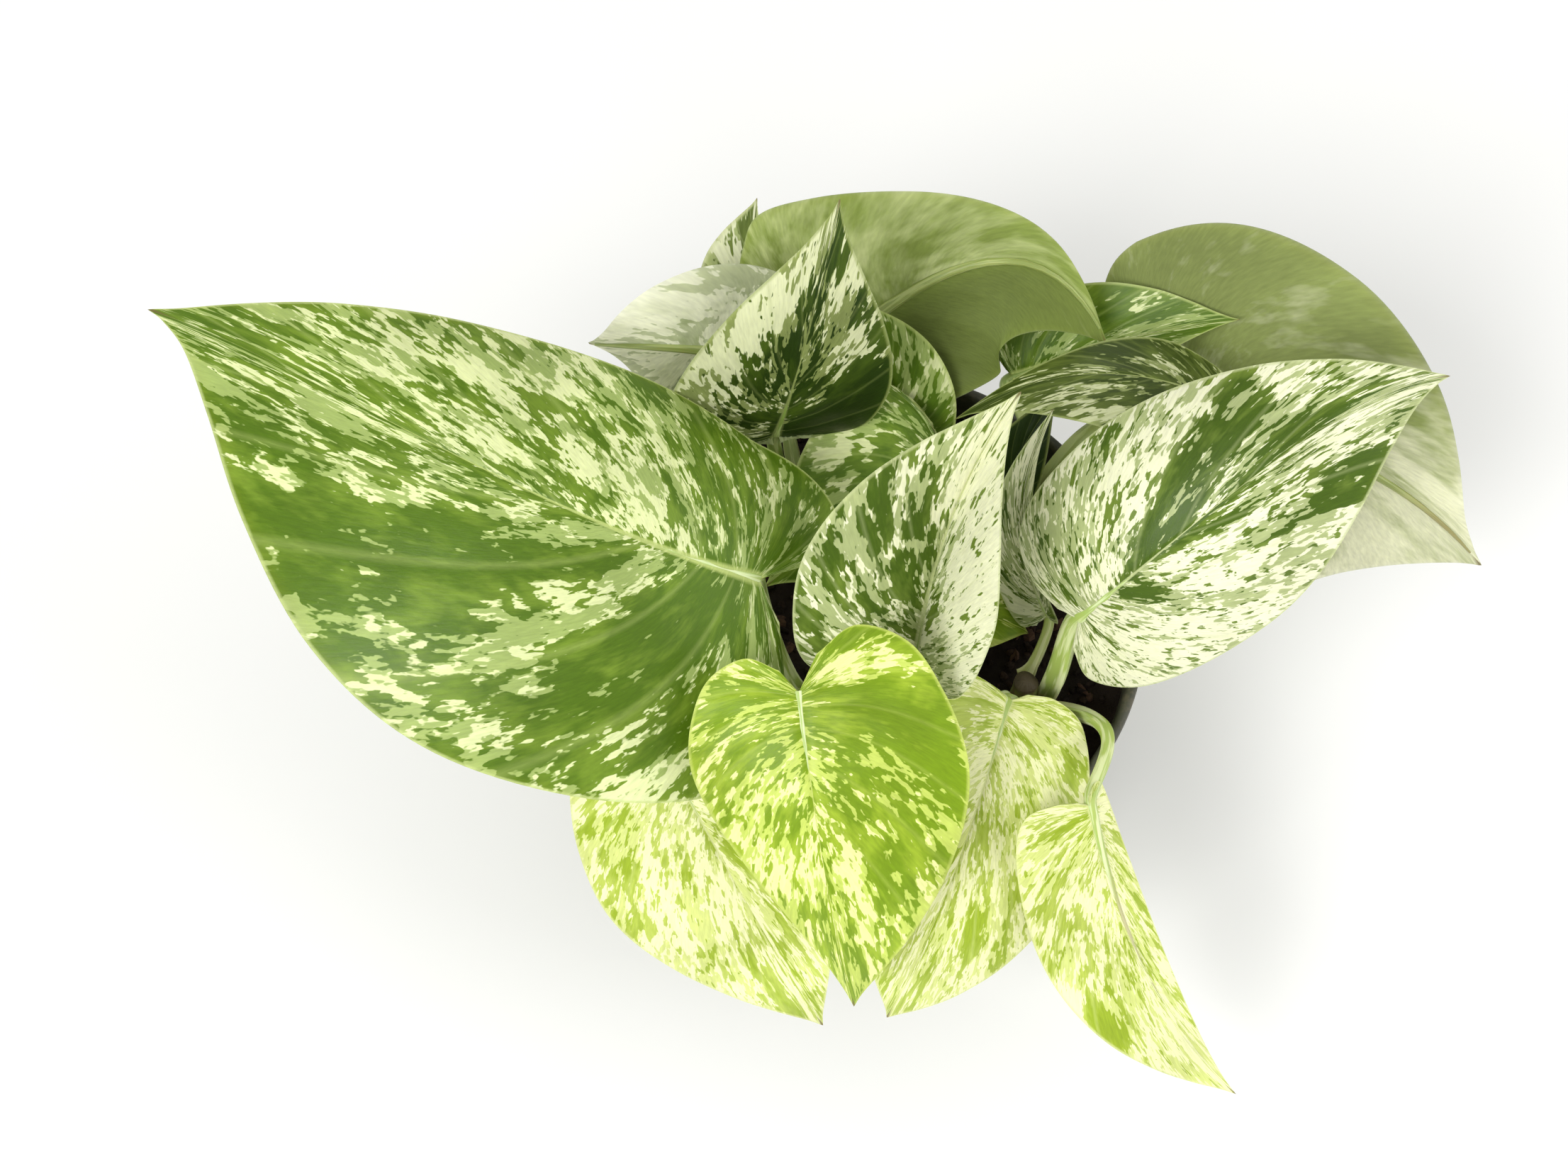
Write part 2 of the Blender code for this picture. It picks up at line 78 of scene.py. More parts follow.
focal_pixels = PIXELS_PER_MM * RIM_DISTANCE
backward = np.array([0.0, -math.cos(LOOK_DOWN), math.sin(LOOK_DOWN)])
rightward = np.array([1.0, 0.0, 0.0])
upward = np.cross(backward, rightward)
ray = np.array([(RIM_PIXEL[0] - PHOTO_WIDTH / 2) / focal_pixels,
                (PHOTO_HEIGHT / 2 - RIM_PIXEL[1]) / focal_pixels, -1.0])
turning = np.stack([rightward, upward, backward], axis=1)
lens_place = np.array([0.0, 0.0, RIM_HEIGHT]) - turning @ ray * RIM_DISTANCE

camera = placed("camera", bpy.data.cameras.new("camera"))
camera.data.sensor_width = SENSOR_WIDTH
camera.data.lens = SENSOR_WIDTH * focal_pixels / PHOTO_WIDTH
pose = np.eye(4)
pose[:3, :3], pose[:3, 3] = turning, lens_place * MM
camera.matrix_world = Matrix(pose.tolist())
bpy.context.scene.camera = camera
print("lens", round(camera.data.lens, 1), "mm at", lens_place.round(), "mm")

# %% [markdown]
# ## A surface is a grid of points
# Every new piece is one or more grids: rows of points that a formula places, joined by faces. A
# grid is closed into a solid by sharing points, such as the margin of a leaf, which its upper and
# lower faces have in common, or the last row of a stalk, which is a single point.
#
# Each point also carries marks for the material, such as its place in the leaf tissue, its
# distance from the margin and how green it is, which where it is high also darkens the tissue as
# painted shade. They are plain named attributes of the mesh.

# %% Grids into meshes
POINT_MARKS = {"place": 3, "vein": 3, "green": 1}
FACE_MARKS = ("underside", "far_half")


def quads(index):
    """Faces between the rows and columns of a grid of point numbers, four corners each."""
    corners = index[:-1, :-1], index[:-1, 1:], index[1:, 1:], index[1:, :-1]
    return np.stack(corners, axis=-1).reshape(-1, 4)


def closed(rows, columns):
    """Point numbers of a grid whose last column joins its first, and whose first and last rows
    are a single point each."""
    index = np.arange(rows * columns).reshape(rows, columns)
    index[0], index[-1] = index[0, 0], index[-1, 0]
    return np.concatenate([index, index[:, :1]], axis=1)


def joined(parts):
    """Several surfaces as one: their points, marks and faces end to end."""
    shift = np.cumsum([0] + [len(part["points"]) for part in parts[:-1]])
    whole = {key: np.concatenate([part[key] for part in parts]) for key in parts[0]}
    whole["faces"] = np.concatenate([part["faces"] + s for part, s in zip(parts, shift)])
    return whole


def surface(points, faces, material=0, **marks):
    """A surface's points, faces and marks as flat arrays. A mark that isn't given is zero."""
    points = np.asarray(points, float).reshape(-1, 3)
    made = {"points": points, "faces": faces, "material": np.full(len(faces), material)}
    for name, size in POINT_MARKS.items():
        given = np.asarray(marks.get(name, np.zeros(size)), float)
        made[name] = np.broadcast_to(given.reshape(-1, size), (len(points), size))
    for name in FACE_MARKS:
        made[name] = np.zeros(len(faces)) + marks.get(name, 0.0)
    return made


def build(name, made, materials):
    """A smooth object from a surface in millimetres. Unused points are dropped, and a face whose
    neighbouring corners coincide becomes a triangle."""
    used, faces = np.unique(made["faces"], return_inverse=True)
    faces = faces.reshape(-1, 4)
    kept = faces != np.roll(faces, -1, axis=1)
    corners, sizes = faces[kept], kept.sum(axis=1)
    mesh = bpy.data.meshes.new(name)
    mesh.vertices.add(len(used))
    mesh.vertices.foreach_set("co", (made["points"][used] * MM).astype(np.float32).ravel())
    mesh.loops.add(len(corners))
    mesh.loops.foreach_set("vertex_index", corners.astype(np.int32))
    mesh.polygons.add(len(sizes))
    mesh.polygons.foreach_set("loop_start", (np.cumsum(sizes) - sizes).astype(np.int32))
    mesh.polygons.foreach_set("material_index", made["material"].astype(np.int32))
    mesh.update(calc_edges=True)
    for mark, size in POINT_MARKS.items():
        kind, key = (("FLOAT", "value"), ("FLOAT_VECTOR", "vector"))[size == 3]
        layer = mesh.attributes.new(mark, kind, "POINT")
        layer.data.foreach_set(key, made[mark][used].astype(np.float32).ravel())
    for mark in FACE_MARKS:
        layer = mesh.attributes.new(mark, "FLOAT", "FACE")
        layer.data.foreach_set("value", made[mark].astype(np.float32))
    mesh.shade_smooth()
    mesh.set_sharp_from_angle(angle=math.radians(60))
    for one in materials:
        mesh.materials.append(one)
    return placed(name, mesh)


def unit(v):
    """Directions of length one."""
    return v / np.maximum(np.linalg.norm(v, axis=-1, keepdims=True), 1e-12)


def facing(grid):
    """Directions square to a grid: the cross product of its slopes along and across."""
    out = np.cross(np.gradient(grid, axis=0), np.gradient(grid, axis=1))
    out[-1] = out[-2]
    return unit(out)


# %% [markdown]
# ## Colours and shader nodes
# Colours are written as the hex values that a picture editor shows, which are sRGB. Shaders want
# linear light, so one function turns them.
#
# One more function adds a shader node. Its sockets go by name or, where a name is used twice or
# is long, by number. A MapRange takes a value at 0, its range at 1 and 2, and the range it
# becomes at 3 and 4. A Mix takes a share at 0 and two colours at 6 and 7. A Math takes its
# numbers from 0 on.

# %% Colour and node helpers
def linear(hex_colour):
    """sRGB hex to linear: below 0.04045 a straight line, above it a power of 2.4."""
    srgb = np.array([int(hex_colour[i:i + 2], 16) for i in (1, 3, 5)]) / 255
    low, high = srgb / 12.92, ((srgb + 0.055) / 1.055) ** 2.4
    return (*np.where(srgb <= 0.04045, low, high).tolist(), 1.0)


def feed(node, sockets):
    """Sets a node's sockets to values or hex colours, or links them to other nodes' outputs."""
    for key, value in sockets.items():
        if isinstance(value, bpy.types.NodeSocket):
            node.id_data.links.new(value, node.inputs[key])
        else:
            node.inputs[key].default_value = linear(value) if isinstance(value, str) else value


def add(tree, kind, sockets, out=0, **settings):
    """Adds a shader node with its settings, feeds it, and gives back one of its outputs."""
    made = tree.nodes.new("ShaderNode" + kind)
    for key, value in settings.items():
        setattr(made, key, value)
    feed(made, sockets)
    return made.outputs[out]


COLOURS = {"out": 2, "data_type": "RGBA"}      # what makes a Mix one of colours


def start(name):
    """A new material with its node tree and its shader."""
    made = bpy.data.materials.new(name)
    made.use_nodes = True
    return made, made.node_tree, made.node_tree.nodes["Principled BSDF"]


# %% [markdown]
# ## Where the leaves are
# Each leaf is described by a few numbers that a gardener could point at: the points its midrib
# passes through, how wide the blade is, which way it faces, how far its two halves fold up and
# curl, how deep the lobes at the stalk are and how the margin waves. The stalk starts at a height
# on one of the six vines, bends towards a knee and meets the blade at an angle.

# %% The vines and the leaves, as in the solid model
VINE_RADIUS = 2.3
SEAT = 1.6                    # radius of a leaf stalk where it starts beside its vine
GAP = 0.35                    # air that the solid model leaves between a vine and a stalk
VINES = {
    "stem_front_left": ((-9, -19, 46), (-9, -18, 84)),
    "stem_front_right": ((30, -18, 46), (29, -17, 84)),
    "stem_centre": ((4, -9, 46), (5, -8, 84)),
    "stem_back_left": ((-13, 19, 46), (-14, 20, 84)),
    "stem_back_centre": ((4, 25, 46), (4, 26, 84)),
    "stem_back_right": ((31, 23, 46), (32, 24, 82)),
}
# The half outline: side vein, share of the length where it meets the margin (of the lobe's depth
# where negative), share of the half width there.
OUTLINE = (
    (0.00, -0.60, 0.14), (0.09, -1.00, 0.42), (0.17, -0.62, 0.72), (0.26, 0.05, 0.91),
    (0.36, 0.22, 1.00), (0.47, 0.39, 0.94), (0.57, 0.56, 0.76), (0.68, 0.71, 0.51),
    (0.79, 0.835, 0.265), (0.89, 0.93, 0.09), (1.00, 1.00, 0.00))
LEAVES = {
    "leaf_left_large": dict(
        midrib=((-19.5, -11, 113.5), (-51.5, -5, 128), (-80, 8.5, 132), (-129, 38.5, 122)),
        width=78, halves=(1.19, 0.85), faces=(-0.04, -0.37, 0.92), fold=(6, -3), curl=(-17, -57),
        lobe=(0.07, 0.12), drip=(0.7, 0.1), belly=(0.11, 0), wave=(1.2, 2.5, 0),
        stem="stem_front_left", turn=170, rise=79, knee=(-17, -20, 94), nod=60, lead=8, stalk=1.7),
    "leaf_right": dict(
        midrib=((36.5, -13, 101.5), (53, -5, 120), (79, 10.5, 132.5), (99, 20.5, 128.5)),
        width=50, halves=(1.04, 1.12), faces=(0.07, -0.45, 0.9), fold=(-7, -10), curl=(-47, -35),
        lobe=(0.04, 0.12), drip=(0.4, 0.5), belly=(0.05, 0.1), wave=(0.8, 2.5, 0.3),
        stem="stem_front_right", turn=10, rise=76, knee=(35, -19, 88), nod=20, lead=6, stalk=1.9),
    "leaf_centre_upright": dict(
        midrib=((7, -24, 101), (14.5, 0.5, 121), (23.5, 10, 140.5)),
        width=54, halves=(0.91, 0.84), faces=(0.02, -0.71, 0.7), fold=(22, 68), curl=(-12, 0),
        lobe=(0.02, 0.04), drip=(0, 0), belly=(0.02, 0.02), wave=(0.8, 2, 0.1),
        stem="stem_centre", turn=250, rise=76, knee=(3, -16, 84), nod=70, lead=8, stalk=1.4),
    "leaf_front_heart": dict(
        midrib=((-13, -34, 118), (-10, -53, 107), (-3, -74, 70)),
        width=50, halves=(1.06, 0.8), faces=(0, -0.7, 0.7), fold=(5, 0), fold_tip=(0, -30),
        curl=(-20, -10), lobe=(0.15, 0.1), drip=(0, 0.3), belly=(0, -0.1), wave=(0.8, 2, 0.6),
        stem="stem_front_left", turn=270, rise=77, knee=(-13, -38, 96), nod=120, lead=8, stalk=1.4),
    "leaf_front_left": dict(
        midrib=((-37, -33, 90), (-24, -54, 78), (-8, -71, 44)),
        width=48, halves=(0.72, 1.08), faces=(-0.3, -0.6, 0.7), fold=(10, 10), fold_tip=(-20, 10),
        curl=(-20, -20), lobe=(0.14, 0.1), drip=(0, 0), belly=(0, 0.08), wave=(0.8, 2, 0.2),
        stem="stem_front_left", turn=220, rise=77, knee=(-24, -24, 96), nod=60, lead=10, stalk=1.4),
    "leaf_front_right": dict(
        midrib=((25, -24, 91), (16, -50, 84), (4, -70, 46)),
        width=50, halves=(0.88, 0.76), faces=(0.1, -0.7, 0.6), fold=(4, 2), curl=(-20, -15),
        lobe=(0.055, 0.02), drip=(0, 0), belly=(0.15, 0), wave=(0.8, 2, 0.5),
        stem="stem_front_right", turn=230, rise=76, knee=(27, -21, 88), nod=70, lead=6, stalk=1.4),
    "leaf_front_right_low": dict(
        midrib=((38, -44, 91), (46, -61, 71), (71, -82, 35)),
        width=36, halves=(0.4, 0.9), faces=(-0.1, -0.7, 0.6), fold=(-62, 28), fold_tip=(-25, 20),
        curl=(0, -20), lobe=(0.04, 0.03), drip=(0, 0), belly=(0, 0.05), wave=(0.5, 2, 0),
        stem="stem_front_right", turn=320, rise=76, knee=(52, -24, 86), nod=50, lead=5, stalk=1.2),
    "leaf_back_upright": dict(
        midrib=((-17, 25.5, 99), (-12, 28.5, 123), (-6, 42.5, 149)),
        width=44, halves=(1.02, 0.87), faces=(0.15, -0.8, 0.56), fold=(15, -11), curl=(-14, 0),
        lobe=(0.02, 0.02), drip=(0.3, 0.2), belly=(0.04, 0.02), wave=(0.7, 2, 0.4),
        stem="stem_back_left", turn=110, rise=77, knee=(-16, 27, 86), nod=20, lead=6, stalk=1.4),
    "leaf_back_left": dict(
        midrib=((-27, 43.5, 102), (-37, 39.5, 109), (-52, 42.5, 105)),
        width=46, halves=(0.96, 0.81), faces=(-0.16, 0.9, -0.3), fold=(8, 6), curl=(-29, -28),
        lobe=(0.08, 0.06), drip=(0.5, 0), belly=(-0.05, 0), wave=(0.8, 2.5, 0),
        stem="stem_back_left", turn=170, rise=77, knee=(-22, 27, 86), nod=20, lead=6, stalk=1.4),
    "leaf_back_large": dict(
        midrib=((-4, 50, 94.5), (34, 54.5, 111), (46.5, 46.5, 97.5)),
        width=76, halves=(0.62, 0.79), faces=(0, 0.85, -0.57), fold=(0, 0), curl=(-20, -10),
        lobe=(0.05, 0.14), drip=(-0.1, 0.65), belly=(0.07, -0.17), wave=(1, 2.5, 0.2),
        stem="stem_back_centre", turn=100, rise=77, knee=(0, 40, 86), nod=20, lead=8, stalk=1.6),
    "leaf_back_right_large": dict(
        midrib=((60, 45, 76), (89, 32, 84), (125, 18, 61)),
        width=76, halves=(1.2, 1.1), faces=(0.4, 0.78, -0.5), fold=(6, 3), curl=(-15, -13),
        lobe=(0.08, 0.14), drip=(0, 0.7), belly=(0.14, -0.04), wave=(1, 2.5, 0.5),
        stem="stem_back_right", turn=40, rise=77, knee=(42, 34, 90), nod=10, lead=10, stalk=1.6),
    "leaf_back_narrow": dict(
        midrib=((66.5, 26, 109), (38, 30, 114), (16, 27, 103)),
        width=26, halves=(1.3, 1.05), faces=(0.04, 0.5, 0.68), fold=(-22, 13), curl=(0, 0),
        lobe=(0.03, 0.03), drip=(0.1, 0.1), belly=(0, -0.1), wave=(0.5, 2, 0),
        stem="stem_back_right", turn=340, rise=77, knee=(41, 23, 92), nod=100, lead=8, stalk=1.2),
    "leaf_back_right_small": dict(
        midrib=((29.5, 47, 86), (49, 51, 92), (71, 49, 103)),
        width=30, halves=(0.86, 0.5), faces=(0, -0.3, 0.9), fold=(15, 10), curl=(-5, -5),
        lobe=(0.03, 0.03), drip=(0.4, 0), belly=(0.1, 0), wave=(0.6, 2, 0.3),
        stem="stem_back_right", turn=100, rise=77, knee=(36, 36, 92), nod=20, lead=6, stalk=1.3),
    "leaf_inner_left": dict(
        midrib=((14, 29, 91.7), (-1, 16, 89.7), (-19, 2, 83.7)),
        width=42, halves=(0.85, 0.85), faces=(0, -0.4, 0.9), fold=(5, 5), curl=(-10, -10),
        lobe=(0.02, 0.02), drip=(0, 0), belly=(0, 0), wave=(0.6, 2, 0),
        stem="stem_back_right", turn=160, rise=77, knee=(21, 27, 84), nod=80, lead=6, stalk=1.3),
    "leaf_back_small": dict(
        midrib=((6, 31, 84), (5, 40, 95.2), (-1, 46, 113.5)),
        width=24, halves=(0.8, 1), faces=(0, -0.6, 0.8), fold=(5, 5), curl=(-10, -10),
        lobe=(0.01, 0.01), drip=(0, 0), belly=(0, 0), wave=(0.4, 2, 0),
        stem="stem_back_centre", turn=60, rise=76, knee=(6, 29, 79), nod=20, lead=3, stalk=1),
    "leaf_unfurling": dict(
        midrib=((34, -3, 81), (28, 7, 97.5), (32, 20, 118.5)),
        width=16, halves=(0.8, 0.6), faces=(-0.37, -0.6, 0.56), fold=(8, 40), curl=(10, 10),
        lobe=(0.01, 0.01), drip=(0, 0), belly=(0, 0), wave=(0.3, 2, 0),
        stem="stem_front_right", turn=80, rise=76, knee=(31, -13, 79), nod=20, lead=3, stalk=1),
    "leaf_inner_low": dict(
        midrib=((11, 4, 76), (22, -2, 81), (31, -4, 76)),
        width=22, halves=(1, 1), faces=(0, -0.3, 0.9), fold=(10, 10), curl=(-10, -10),
        lobe=(0.06, 0.06), drip=(0, 0), belly=(0, 0), wave=(0.4, 2, 0),
        stem="stem_centre", turn=60, rise=75, knee=(8, -2, 76), nod=20, lead=3, stalk=1),
    "leaf_inner_dark": dict(
        midrib=((26, 20, 84), (29, 25, 94), (36, 34, 102)),
        width=12, halves=(1, 1), faces=(-0.2, -0.6, 0.7), fold=(10, 10), curl=(-10, -10),
        lobe=(0.04, 0.04), drip=(0, 0), belly=(0, 0), wave=(0.3, 2, 0),
        stem="stem_back_right", turn=200, rise=76, knee=(25, 20, 80), nod=20, lead=3, stalk=0.9),
    "leaf_back_left_far": dict(
        midrib=((-18, 56.5, 91.5), (-21, 64, 103), (-20.5, 70.5, 112)),
        width=24, halves=(1.05, 0.3), faces=(-0.2, -0.4, 0.9), fold=(8, 8), curl=(-15, -15),
        lobe=(0.06, 0.06), drip=(0, 0), belly=(0, 0), wave=(0.5, 2, 0),
        stem="stem_back_left", turn=50, rise=77, knee=(-17, 44, 82), nod=30, lead=6, stalk=1.2),
}
print("leaves:", len(LEAVES), "vines:", len(VINES))

# %% [markdown]
# ## The blade
# A real pothos blade grows from its midrib: side veins leave it in turn and run out to the
# margin, bowed towards the tip. So the grid's rows are those veins. The first of them edges the
# notch at the stalk and the last has shrunk to the tip. Drawn this way, whatever follows the
# veins on a real leaf, such as its relief and its variegation, simply follows the grid. A blade
# cut out of a flat sheet would have the right outline, but no veins to hang these on.

# %% The shape of a blade
SWEEP = 3.0        # how late the side veins leave the midrib: above 1 they fan out near the stalk
BOW = 0.18         # how far a side vein sags towards the stalk, as a share of its own run


def length_to(points):
    """Length along a line of points, from its start to each of them."""
    return np.concatenate([[0], np.cumsum(np.linalg.norm(np.diff(points, axis=0), axis=1))])


def through(knots, values, at):
    """Smooth curve through the knots: cubic pieces with slopes from the neighbouring knots."""
    slope = np.gradient(values, knots)
    i = np.clip(np.searchsorted(knots, at, side="right") - 1, 0, len(knots) - 2)
    gap = knots[i + 1] - knots[i]
    u = (at - knots[i]) / gap
    return ((2 * u ** 3 - 3 * u ** 2 + 1) * values[i] + (u ** 3 - 2 * u ** 2 + u) * gap * slope[i]
            + (3 * u ** 2 - 2 * u ** 3) * values[i + 1] + (u ** 3 - u ** 2) * gap * slope[i + 1])


def margin(vein, lobe, drip, belly):
    """Where each vein ends on the margin: share of the length, share of the half width."""
    number, along, out = np.array(OUTLINE).T
    along = np.where(along < 0, along * lobe, along + belly * 4 * along * (1 - along))
    out = out * (1 - drip * np.clip((number - 0.42) / 0.42, 0, 1))
    return through(number, along, vein), through(number, out, vein)


def midrib(leaf, along):
    """Place, direction and length of the midrib at shares of its length: one polynomial through
    its points, read by true length, and straight on behind the stalk."""
    points = np.array(leaf["midrib"], float)
    knots = length_to(points)
    knots = knots / knots[-1]

    def curve(t):
        total = 0
        for i, point in enumerate(points):
            weight = np.ones_like(t)
            for j in range(len(points)):
                if j != i:
                    weight = weight * (t - knots[j]) / (knots[i] - knots[j])
            total = total + weight[..., None] * point
        return total

    steps = np.linspace(0, 1, 65)
    run = length_to(curve(steps))
    t = np.interp(np.clip(along, 0, 1), run / run[-1], steps)
    ahead = unit(curve(t + 0.001) - curve(t - 0.001))
    return curve(t) + ahead * (np.minimum(along, 0) * run[-1])[..., None], ahead, run[-1]


def upright(leaf, along):
    """Midrib point, direction, and the upper face's normal there."""
    centre, ahead, _ = midrib(leaf, along)
    face = unit(np.array(leaf["faces"], float))
    return centre, ahead, unit(face - (ahead @ face)[..., None] * ahead)


def blade(leaf, vein, side):
    """Upper face of a leaf. vein runs 0 to 1 from the stalk to the tip, side -1 to 1 across. A
    point is on the midrib, plus a run sideways and a rise that together bend as an arc, plus the
    margin's waves, which grow with the square of the distance out. Also gives how long the side
    vein is and the point's share along the midrib."""
    left, out = side >= 0, np.abs(side)
    ends = [margin(vein, leaf["lobe"][k], leaf["drip"][k], leaf["belly"][k]) for k in (0, 1)]
    end_along = np.where(left, ends[0][0], ends[1][0])
    end_out = np.where(left, ends[0][1], ends[1][1])
    half = leaf["width"] / 2 * np.where(left, *leaf["halves"])
    length = midrib(leaf, np.zeros(1))[2]
    leaves_rib = vein ** SWEEP
    reach = np.hypot(end_along - leaves_rib, end_out * half / length)
    bow = BOW * np.sin(np.pi * out) * reach * np.sqrt(1 - vein) * np.clip(2 * vein, 0, 1)
    along = leaves_rib + (end_along - leaves_rib) * out - bow
    far = end_out * out * half
    centre, ahead, normal = upright(leaf, along)
    k = np.clip(along, 0, 1)

    def blend(key):
        near, tip = leaf[key], leaf.get(key + "_tip", leaf[key])
        return np.radians(np.where(left, *(a + (b - a) * k for a, b in zip(near, tip))))

    fold, bend = blend("fold"), blend("curl") / half
    bend = np.where(np.abs(bend) < 1e-6, 1e-6, bend)
    sideways = (np.sin(fold + bend * far) - np.sin(fold)) / bend
    lift = (np.cos(fold) - np.cos(fold + bend * far)) / bend
    height, count, phase = leaf["wave"]
    ripple = np.sin(2 * np.pi * (count * vein + phase) + np.where(left, 0, 1.7))
    lift = lift + height * ripple * (end_out * out) ** 2
    sideways = np.cross(normal, ahead) * np.where(left, sideways, -sideways)[..., None]
    return centre + sideways + normal * lift[..., None], reach * length, k


# %% [markdown]
# ## Relief, thickness and marks
# A leaf isn't a smooth sheet. Its side veins lie in shallow grooves, the tissue between them
# swells a little, like a quilt, and the whole blade is slightly uneven. The midrib is a groove
# above and a ridge below. The blade is half a millimetre thick and thins to nothing at the
# margin, so the lower face is the upper one moved inwards, and both share the margin's points.
#
# The marks: `place` is where a point lies in the tissue, millimetres across the veins and along
# them, and a number that differs from leaf to leaf. `vein` holds the vein number, the distance
# from the margin and the midrib's width there. `green` says how much green the leaf has there;
# above about 0.22 it also darkens the tissue, as painted shade.
# `underside` and `far_half` are 1 on the lower face and on the half left of the midrib.

# %% Relief, thickness and marks of a blade
SIDE_VEINS = 9
QUILT = 0.32                  # mm that the tissue swells between two side veins
PUCKER = 0.13                 # mm of slow unevenness besides, as living tissue never grows flat
GROOVE = 0.35                 # mm that the midrib lies below the blade's upper face
GROOVE_REACH = 0.9            # half width of that groove, mm
TISSUE = 0.55                 # thickness of a blade, mm
VEIN_SPAN = 0.9               # length that the side veins share out, as a share of the midrib's
CROWDING = 0.2                # how much closer together they lie towards the tip
ROWS, COLUMNS = 112, 22


def bell(x, centre, width):
    """Bell curve: one over e to the square of the distance from its centre, in widths."""
    return np.exp(-((x - centre) / width) ** 2)


def pucker(across, along, phase):
    """Product of two waves, 10 mm across the veins and 15 mm along them, each bent by a slower
    wave that runs the other way, so that no row of bumps shows."""
    one = np.sin(2 * np.pi * across / 10 + 1.6 * np.sin(2 * np.pi * along / 23 + phase) + phase)
    other = np.sin(2 * np.pi * along / 15 + 1.8 * np.sin(2 * np.pi * across / 19 + 2 * phase))
    return one * other


def leaf_blade(leaf, look, number):
    """Upper and lower faces of a leaf as one closed surface, with its marks. The swelling is a
    sine of the vein number, and the groove and the ridge are bell curves of the distance from
    the midrib."""
    rows, columns = look.get("grid", (ROWS, COLUMNS))
    steps = np.linspace(-1, 1, 2 * columns + 1)
    vein, side = np.meshgrid(np.linspace(0, 1, rows + 1), np.sign(steps) * np.abs(steps) ** 1.35,
                             indexing="ij")
    out = np.abs(side)
    middle, vein_length, share = blade(leaf, vein, side)
    from_rib = out * vein_length
    normal = facing(middle)
    fade = np.sin(np.pi * out ** 0.8) * np.sqrt(1 - vein)
    swell = QUILT * (np.abs(np.sin(np.pi * SIDE_VEINS * vein)) ** 0.6 - 0.6) * fade
    length = midrib(leaf, np.zeros(1))[2]
    across = (vein - CROWDING * vein ** 4) * VEIN_SPAN * length
    swell += PUCKER * pucker(across, side * vein_length, number) * fade
    thin = np.clip(vein_length / 8, 0, 1)
    groove = GROOVE * bell(from_rib, 0, GROOVE_REACH) * (1 - share) * thin
    upper = middle + normal * (swell - groove)[..., None]
    stalk = leaf["stalk"]
    ridge = 0.6 * stalk * bell(from_rib, 0, 1.5 * stalk) * (1 - share) ** 0.7
    depth = TISSUE * np.sqrt(1 - out ** 6) * np.clip(thin + 0.3, 0, 1) + ridge
    lower = upper - normal * depth[..., None]

    top = np.arange(vein.size).reshape(vein.shape)
    under = top + vein.size
    under[0], under[:, 0], under[:, -1] = top[0], top[:, 0], top[:, -1]
    top[-1] = under[-1] = top[-1, 0]
    faces_up, faces_down = quads(top)[:, ::-1], quads(under)

    place = np.stack([across, side * vein_length, np.full_like(vein, 10.0 * number)], -1)
    from_margin = (1 - out) * vein_length
    rib_width = (0.35 + 1.1 * (1 - share) ** 2) * stalk / 1.6 * look.get("rib", 1.0)
    marks = np.stack([vein * SIDE_VEINS, from_margin, rib_width], -1)
    green = np.full_like(vein, look["green"])
    for at_vein, at_side, high, wide, strength in look.get("sectors", ()):
        green += strength * np.exp(-((vein - at_vein) / high) ** 4 - ((side - at_side) / wide) ** 4)
    far_half = (quads(np.where(side > 0, 1, 0)).mean(axis=1) > 0.4).astype(float)
    twice = [np.concatenate([m.reshape(-1, m.shape[-1]) if m.ndim == 3 else m.ravel()] * 2)
             for m in (place, marks, green)]
    return surface(np.concatenate([upper.reshape(-1, 3), lower.reshape(-1, 3)]),
                   np.concatenate([faces_up, faces_down]),
                   place=twice[0], vein=twice[1], green=twice[2],
                   underside=np.repeat([0.0, 1.0], len(faces_up)), far_half=np.tile(far_half, 2))


# %% [markdown]
# ## The stalk
# A pothos stalk isn't a round wire. It is grooved along the side that faces the blade's upper
# surface, the lower part carries two thin wings that once wrapped the next leaf, and just below
# the blade it swells into a joint that turns the leaf to the light. All of that is a profile
# carried along a path. The profile's direction has to be carried too without spinning, so each
# step takes the last step's direction and only removes the part that points along the path.

# %% The shape of a stalk
def carried(path, first):
    """Directions along a path, and across it from a first one, turned as little as possible."""
    ahead = unit(np.gradient(path, axis=0))
    across = [unit(first - (first @ ahead[0]) * ahead[0])]
    for step in ahead[1:]:
        across.append(unit(across[-1] - (across[-1] @ step) * step))
    return ahead, np.array(across)


def tube(path, radii, first, shape=None, sides=20, number=0.0, material=0):
    """A closed tube: the radius times shape(turn, share) round a path, drawn in to one point at
    each end. turn is zero on the side that first points to. place is millimetres round and
    along, and a number that sets one tube's pattern apart from the next."""
    ahead, across = carried(path, first)
    turn, share = np.meshgrid(np.linspace(-np.pi, np.pi, sides, endpoint=False),
                              np.linspace(0, 1, len(path)))
    reach = radii[:, None] * (1 if shape is None else shape(turn, share))
    over = np.cross(ahead, across)
    ring = (path[:, None] + reach[..., None] * (np.cos(turn)[..., None] * across[:, None]
                                                + np.sin(turn)[..., None] * over[:, None]))
    ring = np.concatenate([path[:1, None].repeat(sides, 1), ring, path[-1:, None].repeat(sides, 1)])
    run = length_to(path)[[0, *range(len(path)), -1]]
    round_it = turn[0] * radii.mean()
    place = np.stack(np.broadcast_arrays(round_it[None, :], run[:, None], number), -1)
    return surface(ring, quads(closed(*ring.shape[:2])), material, place=place)


def stalk_profile(turn, share):
    """Reach of the stalk's skin, as bell curves added to 1: a groove at turn 0, two wings beside
    it that fade out half way up, and a joint at 0.72 of the way."""
    groove = 0.28 * bell(turn, 0, 0.5) * np.clip(1.1 - share, 0, 1)
    wings = 0.75 * bell(np.abs(turn), 0.8, 0.24) * np.clip(1 - share / 0.5, 0, 1) ** 1.5
    joint = 0.14 * bell(share, 0.72, 0.05)
    return 1 - groove + wings + joint


